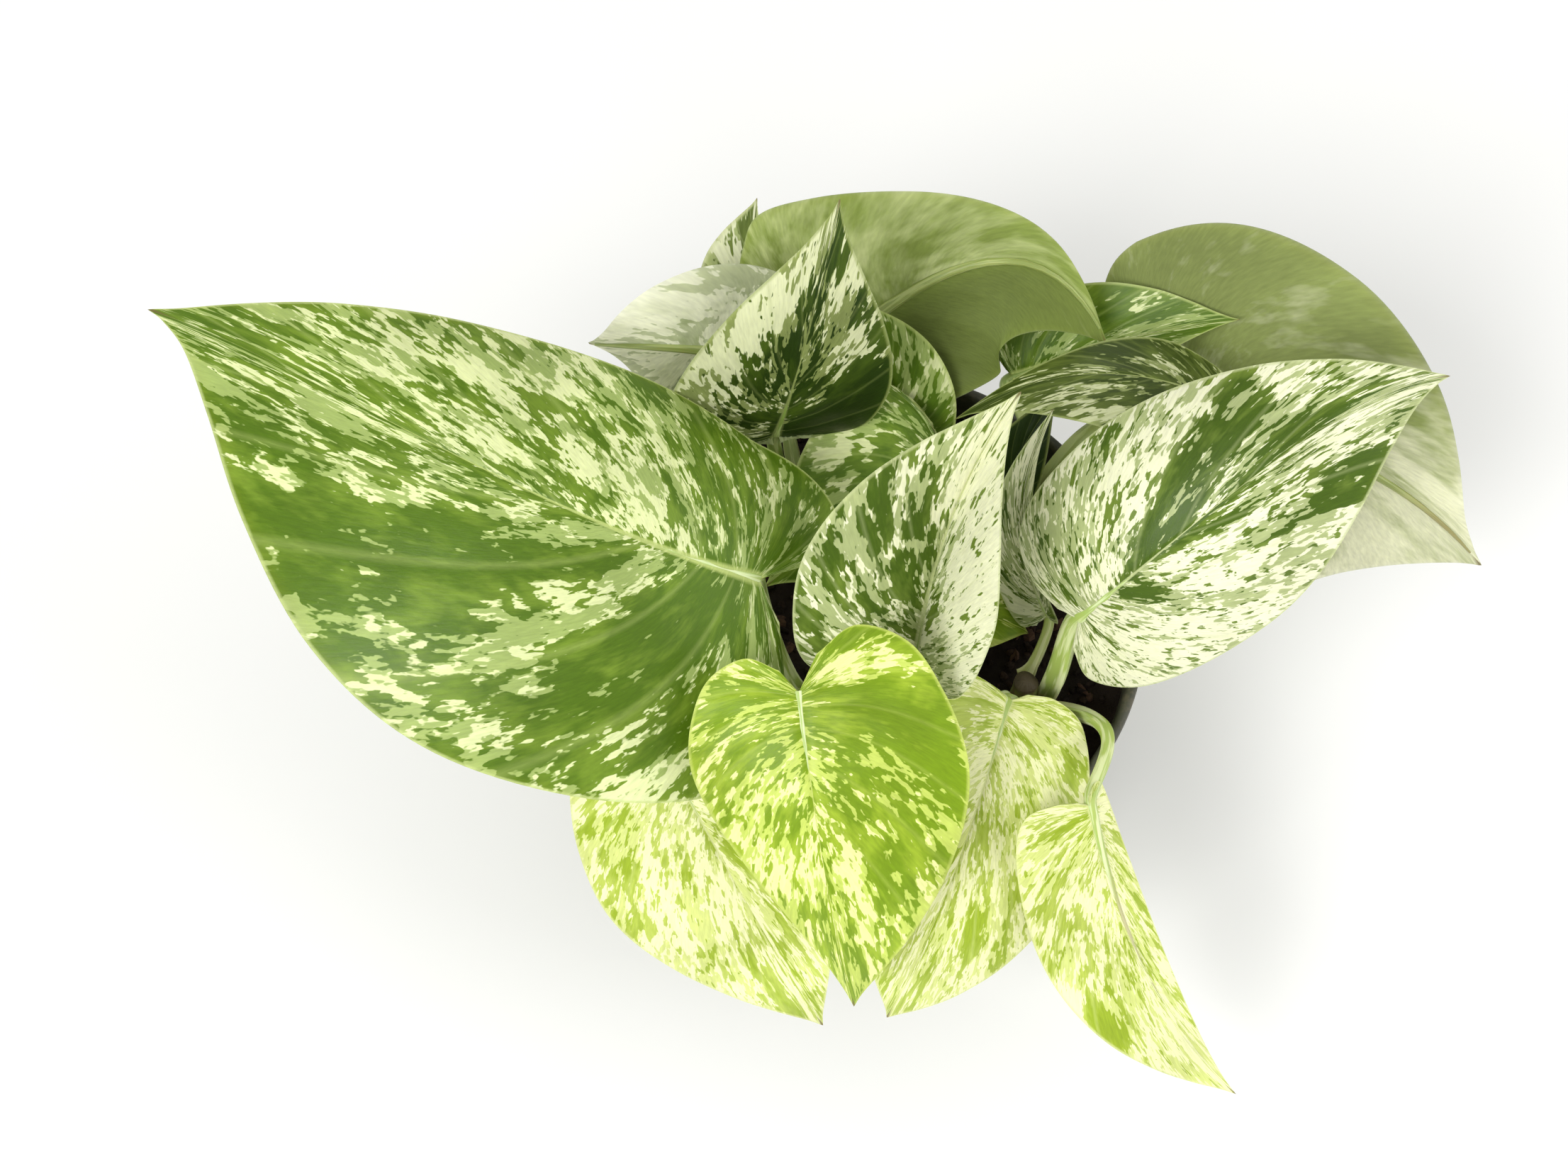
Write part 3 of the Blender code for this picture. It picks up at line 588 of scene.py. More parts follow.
def leaf_stalk(leaf, number):
    """A stalk: up beside its vine, over to the blade, on under the blade as its rib. The first
    part is a Bezier curve from the vine by the knee to the blade's base, in 40 points."""
    low, high = (np.array(p, float) for p in VINES[leaf["stem"]])
    axis = low + (high - low) * (leaf["rise"] - low[2]) / (high[2] - low[2])
    turned = math.radians(leaf["turn"])
    foot = axis + (VINE_RADIUS + GAP + SEAT) * np.array([math.cos(turned), math.sin(turned), 0])
    centre, ahead, normal = upright(leaf, np.zeros(1))
    radius, nod = leaf["stalk"], math.radians(leaf["nod"])
    base = centre[0] - normal[0] * (radius * 0.75 + 0.2)
    before = base - leaf["lead"] * (math.cos(nod) * ahead[0] + math.sin(nod) * normal[0])
    t = np.linspace(0, 1, 40)[:, None]
    knee = np.array(leaf["knee"], float)
    path = ((1 - t) ** 3 * foot + 3 * t * (1 - t) ** 2 * knee
            + 3 * t ** 2 * (1 - t) * before + t ** 3 * base)
    radii = np.interp(t[:, 0], (0, 0.04, 0.25, 0.9, 1),
                      (0.6 * SEAT, SEAT, radius, radius, 0.85 * radius))
    share = np.linspace(0.03, 0.93, 18)
    centre, ahead, normal = upright(leaf, share)
    rib = radius * 0.72 * (1 - share) ** 0.8 + 0.12
    path = np.concatenate([path, centre - normal * (1.05 * rib + 0.2)[:, None]])
    radii = np.concatenate([radii, rib])
    return tube(path[::-1], radii[::-1], normal[-1], lambda turn, s: stalk_profile(turn, 1 - s),
                material=1, number=10.0 * number)


# %% [markdown]
# ## Marbled leaf tissue
# The white of a marble queen isn't paint on the leaf. The blade is built of layers of cells, and
# in each layer some families of cells have lost their green. Families grow in strips along the
# veins. Where both layers are green the leaf is deep green, where only the upper one is it is mid
# green, where only the lower one is it is grey green, and where neither is it is cream. So the
# material draws two patterns of torn strips, one a layer, and the four colours follow by
# themselves. Painting four colours on one pattern would nest them like contour lines, which no
# marbled leaf does.
#
# Each pattern is a broad noise stretched along the veins, plus a fine one whose dashes are just
# under a millimetre by three, cut at a sharp level. The mark `green` moves that level. The dashes
# alone, where they are strongest, are green flecks in the cream.

# %% Two layers of torn strips
STRIP = (1 / 4.0, 1 / 12.0, 1.0)      # one over the size of a strip, mm across and along
DASH = (1 / 0.75, 1 / 2.8, 1.0)       # one over the size of a dash
GRAIN = (1 / 0.30, 1 / 2.5, 1.0)      # rows of cells, coarser than life so that they show
SHARP_EDGE, BLURRED_EDGE = 0.015, 0.11    # half width of a strip's edge, in noise level
BLURRED_TEAR = 0.25                   # share of the dashes in the blurred layer
HALF_APART = 61.7                     # mm between the patterns of a leaf's two halves


def tissue_noise(tree, tissue, size, shift, detail, bend=0.0):
    """Noise in the leaf's own millimetres. The shift picks another slice of it."""
    at = add(tree, "VectorMath", {0: tissue, 1: size, 2: (0.0, 0.0, shift)},
             operation="MULTIPLY_ADD")
    return add(tree, "TexNoise", {"Vector": at, "Scale": 1.0, "Detail": detail,
                                  "Roughness": 0.55, "Distortion": bend})


def torn_strips(tree, tissue, green, torn, shift, share, bias):
    """One cell layer, 1 where it is green: strips, plus torn times the dashes, plus share times
    the green mark, cut at their middle less the bias. Also gives it blurred, and its dashes."""
    strips = tissue_noise(tree, tissue, STRIP, shift, detail=3.0, bend=0.5)
    dashes = tissue_noise(tree, tissue, DASH, shift + 3.3, detail=2.0, bend=0.3)
    marked = add(tree, "Math", {0: green, 1: share, 2: strips}, operation="MULTIPLY_ADD")
    layers = []
    for tear, width in ((torn, SHARP_EDGE), (BLURRED_TEAR, BLURRED_EDGE)):
        level = add(tree, "Math", {0: dashes, 1: tear, 2: marked}, operation="MULTIPLY_ADD")
        middle = 0.5 + tear / 2 - bias
        layers.append(add(tree, "MapRange", {0: level, 1: middle - width, 2: middle + width}))
    return *layers, dashes


# %% [markdown]
# ## Veins, rib and margin
# Over the marbling lie pale lines: faint ones in the grooves of the side veins, the midrib, and a
# thin rim where the blade has no green cells. They come from the marks, so they lie exactly on
# the relief.

# %% Pale lines
def pale_lines(tree, place, number, from_margin, rib_width):
    """How pale each point is made by the nearest side vein, the midrib or the rim: the largest
    of the three."""
    across = add(tree, "SeparateXYZ", {0: place}, "Y")
    from_rib = add(tree, "Math", {0: across}, operation="ABSOLUTE")
    to_vein = add(tree, "Math", {0: number, 1: 0.5}, operation="PINGPONG")
    side_line = add(tree, "MapRange", {0: to_vein, 1: 0.07, 2: 0.0, 3: 0.0, 4: 0.22})
    rib_share = add(tree, "Math", {0: from_rib, 1: rib_width}, operation="DIVIDE")
    rib_line = add(tree, "MapRange", {0: rib_share, 1: 1.0, 2: 0.45, 3: 0.0, 4: 0.85})
    rim_line = add(tree, "MapRange", {0: from_margin, 1: 0.75, 2: 0.25, 3: 0.0, 4: 0.7})
    lines = add(tree, "Math", {0: side_line, 1: rib_line}, operation="MAXIMUM")
    return add(tree, "Math", {0: lines, 1: rim_line}, operation="MAXIMUM")


# %% [markdown]
# ## The leaf's surface
# Above, the leaf shows its four colours with the pale lines on them. Below it is duller and
# paler, and both layers show through blurred. In the thin leaf the nearer one, the lower, is
# sharp. The tip dries to brown.

# %% Marbled leaf material
DRY_FROM, DRY_TO = 0.975 * SIDE_VEINS, 0.992 * SIDE_VEINS      # vein numbers of the dry tip


def leaf_tissue(name, deep, mid, grey, cream, back_green, back_cream, rib, flecks=0.66, torn=0.6,
                thin=False, more_grey=0.02):
    """Living leaf, waxed by its own cuticle: a soft broad gloss above, nearly matt below, shaded
    in clouds of 17 mm and rough with cells of 0.7 mm. Where the green mark is above 0.22 the
    tissue is darkened, down to 0.6 at 0.45, as painted shade. torn is how raggedly the strips end,
    flecks the dash level where flecks start, and more_grey widens the lower layer's strips."""
    made, tree, shader = start(name)
    place, marks = (add(tree, "Attribute", {}, "Vector", attribute_name=mark)
                    for mark in ("place", "vein"))
    green, below, half = (add(tree, "Attribute", {}, "Fac", attribute_name=mark)
                          for mark in ("green", "underside", "far_half"))
    number, from_margin, rib_width = (add(tree, "SeparateXYZ", {0: marks}, axis) for axis in "XYZ")
    apart = add(tree, "Math", {0: half, 1: HALF_APART}, operation="MULTIPLY")
    apart = add(tree, "CombineXYZ", {0: apart})
    tissue = add(tree, "VectorMath", {0: place, 1: apart}, operation="ADD")
    upper, upper_blurred, dashes = torn_strips(tree, tissue, green, torn,
                                               shift=0.0, share=1.0, bias=0.0)
    lower, lower_blurred, _ = torn_strips(tree, tissue, green, torn,
                                          shift=5.7, share=0.6, bias=more_grey)
    specks = add(tree, "MapRange", {0: dashes, 1: flecks, 2: flecks + 0.03})
    upper = add(tree, "Math", {0: upper, 1: specks}, operation="MAXIMUM")

    pale = add(tree, "Mix", {0: lower, 6: cream, 7: grey}, **COLOURS)
    rich = add(tree, "Mix", {0: lower_blurred, 6: mid, 7: deep}, **COLOURS)
    face = add(tree, "Mix", {0: upper, 6: pale, 7: rich}, **COLOURS)
    lines = pale_lines(tree, place, number, from_margin, rib_width)
    face = add(tree, "Mix", {0: lines, 6: face, 7: rib}, **COLOURS)

    near_side = lower if thin else lower_blurred
    near_side = add(tree, "Math", {0: near_side, 1: 0.5}, operation="MULTIPLY")
    through_it = add(tree, "Math", {0: upper_blurred, 1: 0.45, 2: near_side},
                     operation="MULTIPLY_ADD")
    back = add(tree, "Mix", {0: through_it, 6: back_cream, 7: back_green}, **COLOURS)
    both = add(tree, "Mix", {0: below, 6: face, 7: back}, **COLOURS)
    dry = add(tree, "MapRange", {0: number, 1: DRY_FROM, 2: DRY_TO, 4: 0.85})
    both = add(tree, "Mix", {0: dry, 6: both, 7: "#6B5A34"}, **COLOURS)

    grain = tissue_noise(tree, tissue, GRAIN, shift=9.1, detail=2.0)
    object_place = add(tree, "TexCoord", {}, "Object")
    cloud = add(tree, "TexNoise", {"Vector": object_place, "Scale": 60.0, "Detail": 1.0})
    tone = add(tree, "Math", {0: grain, 1: cloud}, operation="ADD")
    tone = add(tree, "MapRange", {0: tone, 1: 0.65, 2: 1.35, 3: 0.80, 4: 1.14})
    # Painted shade: where the green mark is above 0.22 the tissue is darkened, to 0.6 at 0.45, for
    # leaves and halves that lie in shade.
    painted_shade_where_green = add(tree, "MapRange", {0: green, 1: 0.22, 2: 0.45, 3: 1.0, 4: 0.6})
    tone = add(tree, "Math", {0: tone, 1: painted_shade_where_green}, operation="MULTIPLY")
    shade = add(tree, "CombineXYZ", {0: tone, 1: tone, 2: tone})
    coloured = add(tree, "Mix", {0: 1.0, 6: both, 7: shade}, **COLOURS, blend_type="MULTIPLY")

    matt = add(tree, "MapRange", {0: below, 3: 0.36, 4: 0.6})
    rough = add(tree, "Math", {0: grain, 1: 0.12}, operation="MULTIPLY")
    rough = add(tree, "Math", {0: rough, 1: matt}, operation="ADD")
    cells = add(tree, "TexVoronoi", {"Vector": object_place, "Scale": 1400.0},
                feature="DISTANCE_TO_EDGE")
    bumps = add(tree, "Math", {0: cells, 1: 0.35, 2: grain}, operation="MULTIPLY_ADD")
    bumps = add(tree, "Bump", {"Strength": 0.35, "Distance": 0.00012, "Height": bumps})
    feed(shader, {"Base Color": coloured, "Roughness": rough, "Normal": bumps,
                  "Specular IOR Level": 0.23, "Subsurface Weight": 0.12,
                  "Subsurface Radius": (0.9, 1.0, 0.35), "Subsurface Scale": 0.0015})
    return made


TISSUES = {
    "grass": leaf_tissue("leaf_tissue_grass_green", "#4F6D0C", "#6F8A26", "#9CAF62", "#DAE2A6",
                         "#7D8B43", "#BBC28D", "#BCCB76", flecks=0.72),
    "forest": leaf_tissue("leaf_tissue_forest_green", "#263A0A", "#455A16", "#838F52", "#D6DAAE",
                          "#6A7A38", "#AEB883", "#97A45E", flecks=0.68, torn=0.8),
    "cream": leaf_tissue("leaf_tissue_cream", "#455E0E", "#6E8430", "#AAB57C", "#ECEDC8",
                         "#8C9A62", "#CDD2AC", "#C6CF92", flecks=0.60, torn=0.85,
                         more_grey=0.04),
    "lime": leaf_tissue("leaf_tissue_lime", "#769412", "#9CB52E", "#BFD060", "#EAEE9E",
                        "#93A440", "#D2DA90", "#C0CF62", flecks=0.66, torn=0.85),
    "pale_lime": leaf_tissue("leaf_tissue_pale_lime", "#98AF28", "#BACA5A", "#D2DC83", "#F0F2B8",
                             "#A9B858", "#DEE3A8", "#DDE498", flecks=0.63, torn=0.8),
    "shade": leaf_tissue("leaf_tissue_seen_from_below", "#38480E", "#5F6F2A", "#8E9A5C", "#CDD2A2",
                         "#7D8E3F", "#BEC78A", "#A8B56C", flecks=0.70),
    "bleached": leaf_tissue("leaf_tissue_pale_below", "#48581A", "#6F7F3A", "#9FAA70", "#DDE0BC",
                            "#87944F", "#DEDFBC", "#C6CC98", flecks=0.66),
    "thin": leaf_tissue("leaf_tissue_thin_and_pale", "#48581A", "#6F7F3A", "#A8B47C", "#E4E7C6",
                        "#7F9048", "#EDEED2", "#DDE2B4", flecks=0.66, torn=0.75, thin=True),
}
print("leaf materials:", len(TISSUES))

# %% [markdown]
# ## Stalk skin
# A stalk is the same waxy skin over paler tissue: yellow green, with the variegation drawn out
# into long thin streaks, and its foot and wings brownish where they dry.

# %% Stalk material
FOOT_TOP, FOOT_DRY = 0.082, 0.074     # heights, m: where a stalk starts to dry, and is dry


def stalk_skin(name, green, pale, dry):
    """Smooth living skin: streaks 0.8 mm wide and 12 mm long, and a dry, brownish foot."""
    made, tree, shader = start(name)
    place = add(tree, "Attribute", {}, "Vector", attribute_name="place")
    at = add(tree, "VectorMath", {0: place, 1: (1 / 0.8, 1 / 12.0, 1.0)}, operation="MULTIPLY")
    streaks = add(tree, "TexNoise", {"Vector": at, "Scale": 1.0, "Detail": 3.0, "Distortion": 0.2})
    share = add(tree, "MapRange", {0: streaks, 1: 0.46, 2: 0.56})
    colour = add(tree, "Mix", {0: share, 6: green, 7: pale}, **COLOURS)
    height = add(tree, "SeparateXYZ", {0: add(tree, "TexCoord", {}, "Object")}, "Z")
    foot = add(tree, "MapRange", {0: height, 1: FOOT_TOP, 2: FOOT_DRY, 3: 0.0, 4: 0.7})
    colour = add(tree, "Mix", {0: foot, 6: colour, 7: dry}, **COLOURS)
    feed(shader, {
        "Base Color": colour, "Roughness": add(tree, "MapRange", {0: streaks, 3: 0.34, 4: 0.52}),
        "Normal": add(tree, "Bump", {"Strength": 0.3, "Distance": 0.0001, "Height": streaks}),
        "Subsurface Weight": 0.1, "Subsurface Scale": 0.0015})
    return made


SKINS = {
    "green": stalk_skin("stalk_skin_green", "#869C48", "#B4C27A", "#9C8A5A"),
    "pale": stalk_skin("stalk_skin_pale", "#AABF62", "#DCE5AC", "#B9A878"),
    "olive": stalk_skin("stalk_skin_olive", "#8A984E", "#A9B56E", "#948456"),
}
print("stalk materials:", len(SKINS))

# %% [markdown]
# ## How each leaf is marked
# No two leaves are marbled alike. For each, the table gives its tissue, how green it is overall
# and a few sectors where one family of cells took over. A sector is its centre, as a share of
# the vein numbers and of the way out to the margin, its half sizes in the same shares, and how
# much greener it is. Some sectors and green levels paint shade or light instead: greener, and so
# darker, where a part lies in shade, or creamier where it is lit. Leaves that are hardly seen have
# a coarser grid.

# %% The look of each leaf
LOOKS = {
    "leaf_left_large": dict(tissue="grass", green=0.04, skin="pale", sectors=(
        (0.60, -0.50, 0.16, 0.50, -0.09), (0.22, -0.60, 0.14, 0.50, 0.02),
        (0.80, 0.50, 0.08, 0.45, -0.08), (0.38, 0.30, 0.10, 0.30, 0.15),
        (0.57, 0.75, 0.06, 0.40, 0.14), (0.50, 0.30, 0.03, 0.20, -0.16),
        (0.46, 0.60, 0.03, 0.20, -0.12), (0.20, 0.75, 0.09, 0.40, -0.16),
        (0.64, 0.45, 0.03, 0.30, -0.06))),
    "leaf_right": dict(tissue="cream", green=-0.11, skin="pale", rib=0.55, sectors=(
        (0.62, 0.45, 0.07, 0.60, 0.26), (0.80, 0.30, 0.09, 0.40, 0.18),
        (0.50, -0.15, 0.05, 0.22, 0.20), (0.65, -0.92, 0.06, 0.20, 0.26),
        (0.72, -0.40, 0.08, 0.40, 0.07), (0.20, -0.60, 0.22, 0.60, -0.07))),
    "leaf_centre_upright": dict(tissue="cream", green=-0.06, sectors=(
        (0.95, 0.00, 0.14, 1.20, -0.50), (0.65, 0.50, 0.09, 0.42, 0.20),
        # The first sector on this line takes green from the half right of the midrib: partly the
        # leaf's own cream, partly painted light on the half that turns from the lamps.
        (0.62, -0.75, 0.42, 0.42, -0.30), (0.25, -0.40, 0.10, 0.30, 0.06),
        (0.45, 0.35, 0.08, 0.25, 0.06))),
    "leaf_front_heart": dict(tissue="lime", green=0.04, skin="pale", rib=0.35, sectors=(
        (0.10, 0.80, 0.06, 0.25, 0.25), (0.17, 0.50, 0.05, 0.35, -0.22),
        (0.36, 0.55, 0.09, 0.42, 0.24), (0.22, -0.45, 0.12, 0.40, 0.08),
        (0.50, -0.90, 0.40, 0.18, -0.06), (0.75, 0.00, 0.12, 0.60, -0.06))),
    "leaf_front_left": dict(tissue="pale_lime", green=-0.05, skin="pale", rib=0.7, sectors=(
        (0.55, 0.40, 0.14, 0.25, 0.14), (0.20, -0.40, 0.10, 0.40, 0.06))),
    "leaf_front_right": dict(tissue="pale_lime", green=-0.06, skin="pale", rib=0.8, sectors=(
        (0.66, 0.60, 0.04, 0.22, 0.22), (0.30, -0.50, 0.15, 0.40, 0.06))),
    "leaf_front_right_low": dict(tissue="pale_lime", green=-0.05, skin="pale", rib=0.7, sectors=(
        (0.58, -0.92, 0.05, 0.12, 0.30), (0.90, 0.00, 0.14, 1.00, -0.16))),
    # Its second sector makes the half right of the midrib greener: more of its own deep green, and
    # darker, which is painted shade on the half turned from the light.
    "leaf_back_upright": dict(tissue="forest", green=0.05, sectors=(
        (0.66, 0.88, 0.26, 0.26, -0.26), (0.34, -0.55, 0.16, 0.50, 0.34),
        (0.72, -0.80, 0.14, 0.30, -0.12), (0.90, 0.00, 0.10, 1.00, -0.06))),
    "leaf_back_left": dict(tissue="thin", green=-0.12, skin="olive"),
    # Its first two sectors paint light and shade: the half above the midrib is made creamier and
    # paler, as painted light, and the half below it, which hangs away from the light, greener and
    # darker, as painted shade.
    "leaf_back_large": dict(tissue="shade", green=0.12, rib=0.5, skin="olive", sectors=(
        (0.50, -0.60, 0.45, 0.45, -0.10), (0.50, 0.60, 0.50, 0.50, 0.34),
        (0.74, -0.08, 0.10, 0.14, -0.20))),
    "leaf_back_right_large": dict(tissue="bleached", green=-0.20, rib=0.4, skin="olive", sectors=(
        (0.35, -0.75, 0.36, 0.60, 0.44),)),
    "leaf_back_narrow": dict(tissue="shade", green=0.06, grid=(72, 14)),
    "leaf_back_right_small": dict(tissue="grass", green=0.04, grid=(72, 14)),
    "leaf_inner_left": dict(tissue="grass", green=0.0, grid=(72, 14)),
    "leaf_back_small": dict(tissue="grass", green=0.0, grid=(64, 14), sectors=(
        (0.50, 0.70, 0.40, 0.50, -0.25),)),
    "leaf_unfurling": dict(tissue="cream", green=-0.10, skin="pale", grid=(64, 12)),
    "leaf_inner_low": dict(tissue="lime", green=0.06, grid=(64, 12)),
    # So green that the whole tissue is darkened: painted shade, for a small leaf deep inside the
    # plant.
    "leaf_inner_dark": dict(tissue="forest", green=0.35, grid=(48, 10)),
    "leaf_back_left_far": dict(tissue="bleached", green=-0.05, grid=(64, 12)),
}
print("sectors in all:", sum(len(look.get("sectors", ())) for look in LOOKS.values()))

# %% Build the leaves
leaf_faces = 0
for number, (name, leaf) in enumerate(LEAVES.items(), 1):
    look = LOOKS[name]
    made = joined([leaf_blade(leaf, look, number), leaf_stalk(leaf, number)])
    materials = [TISSUES[look["tissue"]], SKINS[look.get("skin", "green")]]
    piece = build(name + "_living", made, materials)
    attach(piece, "root")
    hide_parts(name)
    leaf_faces += len(made["faces"])
print("leaf faces:", leaf_faces)

# %% [markdown]
# ## The rooted vines
# Each cutting is a short length of vine: woody, swollen at the joints where a leaf grew, ringed
# by the scar of an old sheath, and sealed brown on top where it was cut. Stubs of air roots point
# down beside the joints. It is a profile carried up a path again, with the swellings in the
# radius.

# %% Vine material
CUT_FROM, CUT_TO = 0.0815, 0.0830     # heights, m, between which the skin turns to dry cut end


def vine_bark(name):
    """Young pothos bark: olive skin with brown cork in patches of 1.1 mm, ribs 0.6 mm wide and
    8 mm long, and a dry cut end."""
    made, tree, shader = start(name)
    place = add(tree, "Attribute", {}, "Vector", attribute_name="place")
    object_place = add(tree, "TexCoord", {}, "Object")
    cork = add(tree, "TexNoise", {"Vector": object_place, "Scale": 900.0, "Detail": 4.0})
    at = add(tree, "VectorMath", {0: place, 1: (1.6, 0.12, 1.0)}, operation="MULTIPLY")
    ribs = add(tree, "TexNoise", {"Vector": at, "Scale": 1.0, "Detail": 3.0})
    share = add(tree, "MapRange", {0: cork, 1: 0.42, 2: 0.62})
    colour = add(tree, "Mix", {0: share, 6: "#767E42", 7: "#75603A"}, **COLOURS)
    height = add(tree, "SeparateXYZ", {0: object_place}, "Z")
    cut = add(tree, "MapRange", {0: height, 1: CUT_FROM, 2: CUT_TO})
    colour = add(tree, "Mix", {0: cut, 6: colour, 7: "#4A3F28"}, **COLOURS)
    both = add(tree, "Math", {0: ribs, 1: cork}, operation="ADD")
    feed(shader, {
        "Base Color": colour, "Roughness": add(tree, "MapRange", {0: cork, 3: 0.45, 4: 0.8}),
        "Normal": add(tree, "Bump", {"Strength": 0.6, "Distance": 0.0003, "Height": both})})
    return made


bark = vine_bark("pothos_vine_bark")

# %% Build the vines
AIR_ROOTS = 3                 # stubs on each vine
ROOT_RADIUS = 0.62
random = np.random.default_rng(11)
vine_faces = 0
for number, (name, (low, high)) in enumerate(VINES.items(), 1):
    low, high = np.array(low, float), np.array(high, float)
    joints = sorted({leaf["rise"] for leaf in LEAVES.values() if leaf["stem"] == name} | {60.0})
    t = np.linspace(0, 1, 90)
    path = low + (high - low) * t[:, None]
    height = path[:, 2]
    swell = sum(0.5 * bell(height - joint, -1.2, 1.6) for joint in joints)
    ring = sum(0.22 * bell(height - joint, 1.0, 0.3) for joint in joints)
    radii = VINE_RADIUS + swell + ring + 0.06 * np.sin(height * 4.3 + number)
    radii = radii * np.sqrt(np.clip((1 - t) / 0.03, 0.2, 1))
    parts = [tube(path, radii, np.array([1.0, 0, 0]),
                  lambda turn, s: 1 + 0.05 * np.sin(3 * turn + 9 * s),
                  sides=24, number=3.0 * number)]
    for _ in range(AIR_ROOTS):
        angle, joint = random.uniform(0, 2 * math.pi), float(random.choice(joints[1:]))
        outward = np.array([math.cos(angle), math.sin(angle), 0.0])
        t = np.linspace(0, 1, 12)[:, None]
        reach = random.uniform(3.0, 6.0)
        root = (np.array([*path[0, :2], joint - 1.5]) + outward * (VINE_RADIUS - 0.8 + reach * t)
                + np.array([0.0, 0.0, -5.0]) * t ** 2 * random.uniform(0.7, 1.3))
        parts.append(tube(root, ROOT_RADIUS * (1 - 0.6 * t[:, 0]), np.array([0, 0, 1.0]), sides=8,
                          number=7.0 * number))
    piece = build(name + "_rooted", joined(parts), [bark])
    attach(piece, "root")
    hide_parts(name)
    vine_faces += len(piece.data.polygons)
print("vine faces:", vine_faces)

# %% [markdown]
# ## The soil
# Potting mix is peat crumbs, bark chips and fibres. From above, the eye sees a nearly black,
# rough surface with a few paler bits. A flat disc with a bump on it has a straight edge against
# the pot, which gives it away, so the top is a grid heaped up by noise, and separate crumbs lie
# on it.

# %% The heaped surface
WALL = 1.3                    # thickness of the pot's wall, mm
BASE_OUTER, LIP_OUTER, LIP_INNER = 36.5, 53.0, 50.8            # radii of the pot
COLLAR_FOOT = 69.0            # height where the pot's thicker collar starts
COLLAR_STEP = 1.2             # how far the lip stands out over the wall below
SOIL_TOP, SOIL_EDGE, SOIL_FOOT = 73.0, 70.6, 3.8               # heights
RINGS, AROUND, DOWN = 75, 220, 11     # rings on the top, points round, rings down the side


def full_turn(count):
    """Angles that share out a full turn."""
    return np.linspace(0, 2 * np.pi, count, endpoint=False)


def about_axis(radius, turn, height):
    """Points at a radius, an angle round the pot's axis and a height."""
    x, y = radius * np.cos(turn), radius * np.sin(turn)
    return np.stack(np.broadcast_arrays(x, y, height), -1)


def wall_radius(height):
    """Inner radius of the pot's wall, a straight taper from the floor to the collar."""
    taper = LIP_OUTER - COLLAR_STEP - BASE_OUTER
    return BASE_OUTER - WALL + taper * np.minimum(height / COLLAR_FOOT, 1)


def lumps(x, y, size, seed):
    """Smooth random heights about zero: random values on a square lattice of the given size,
    with an eased blend between each four."""
    values = np.random.default_rng(seed).uniform(-1, 1, (256, 256))
    gx, gy = x / size + 97.3, y / size + 61.9
    i, j = np.floor(gx).astype(int), np.floor(gy).astype(int)
    u, v = gx - i, gy - j
    u, v = u * u * (3 - 2 * u), v * v * (3 - 2 * v)
    i, j = i % 255, j % 255
    return ((values[i, j] * (1 - u) + values[i + 1, j] * u) * (1 - v)
            + (values[i, j + 1] * (1 - u) + values[i + 1, j + 1] * u) * v)


def soil_height(x, y):
    """Height of the soil: crowned in the middle, heaped by lumps of 9, 3.5 and 1.4 mm."""
    r = np.hypot(x, y)
    crown = SOIL_TOP - 0.4 - (SOIL_TOP - SOIL_EDGE - 0.9) * (r / 50) ** 3
    return (crown + 0.7 * lumps(x, y, 9.0, 1) + 0.55 * lumps(x, y, 3.5, 2)
            + 0.35 * lumps(x, y, 1.4, 3))


turn, share = np.meshgrid(full_turn(AROUND), np.linspace(0, 1, RINGS + 1))
radius = share * (wall_radius(SOIL_EDGE) + 0.25)
x, y = radius * np.cos(turn), radius * np.sin(turn)
top = np.stack([x, y, soil_height(x, y)], -1)
down = np.linspace(0, 1, DOWN + 1)[1:, None, None]
edge = top[-1:]
heights = SOIL_EDGE - 1 + (SOIL_FOOT - SOIL_EDGE + 1) * down
shrink = (wall_radius(heights) - 0.3) / np.hypot(edge[..., :1], edge[..., 1:2])
side = np.concatenate([edge[..., :2] * shrink, np.broadcast_to(heights, (DOWN, AROUND, 1))], -1)
bottom = side[-1:] * np.array([0.0, 0.0, 1.0])
grid = np.concatenate([top, side, bottom])
heap = surface(grid, quads(closed(*grid.shape[:2])))
print("soil faces:", len(heap["faces"]))

# %% [markdown]
# A crumb is a six-sided lump with its corners moved at random, then turned and scaled. One
# small mesh is copied 1500 times in a single array, each copy with its own turn and size, and
# each rests on the height that the heap has under it. Its tone goes into the mark `green`.

# %% Crumbs and bark chips on the soil
CRUMBS, CHIP_SHARE = 1500, 0.22
SIDES, LEVELS = 6, (-1, -0.55, 0.1, 0.65, 1)       # corners of a crumb: round it, and up it
CORNERS, LAST = SIDES * len(LEVELS), SIDES * (len(LEVELS) - 1)
random = np.random.default_rng(5)
ring_turn, ring_rise = np.meshgrid(full_turn(SIDES), np.array(LEVELS))
lump = about_axis(np.sqrt(np.clip(1 - ring_rise ** 2, 0, 1)), ring_turn, ring_rise)
lump_faces = quads(closed(len(LEVELS), SIDES))
bent = lump.reshape(1, CORNERS, 3) * random.uniform(0.7, 1.2, (CRUMBS, CORNERS, 1))
bent[:, :SIDES], bent[:, LAST:] = bent[:, :1], bent[:, LAST:LAST + 1]
chip = random.uniform(size=CRUMBS) < CHIP_SHARE
size = np.where(chip, random.uniform(1.2, 2.4, CRUMBS), random.uniform(0.35, 1.25, CRUMBS))
flat = np.where(chip[:, None], (1.0, 0.55, 0.28), random.uniform(0.6, 1.0, (CRUMBS, 3)))
spin = np.linalg.qr(random.normal(size=(CRUMBS, 3, 3)))[0]
spin *= np.sign(np.linalg.det(spin))[:, None, None]
away = 49.0 * np.sqrt(random.uniform(size=CRUMBS))
bearing = random.uniform(0, 2 * np.pi, CRUMBS)
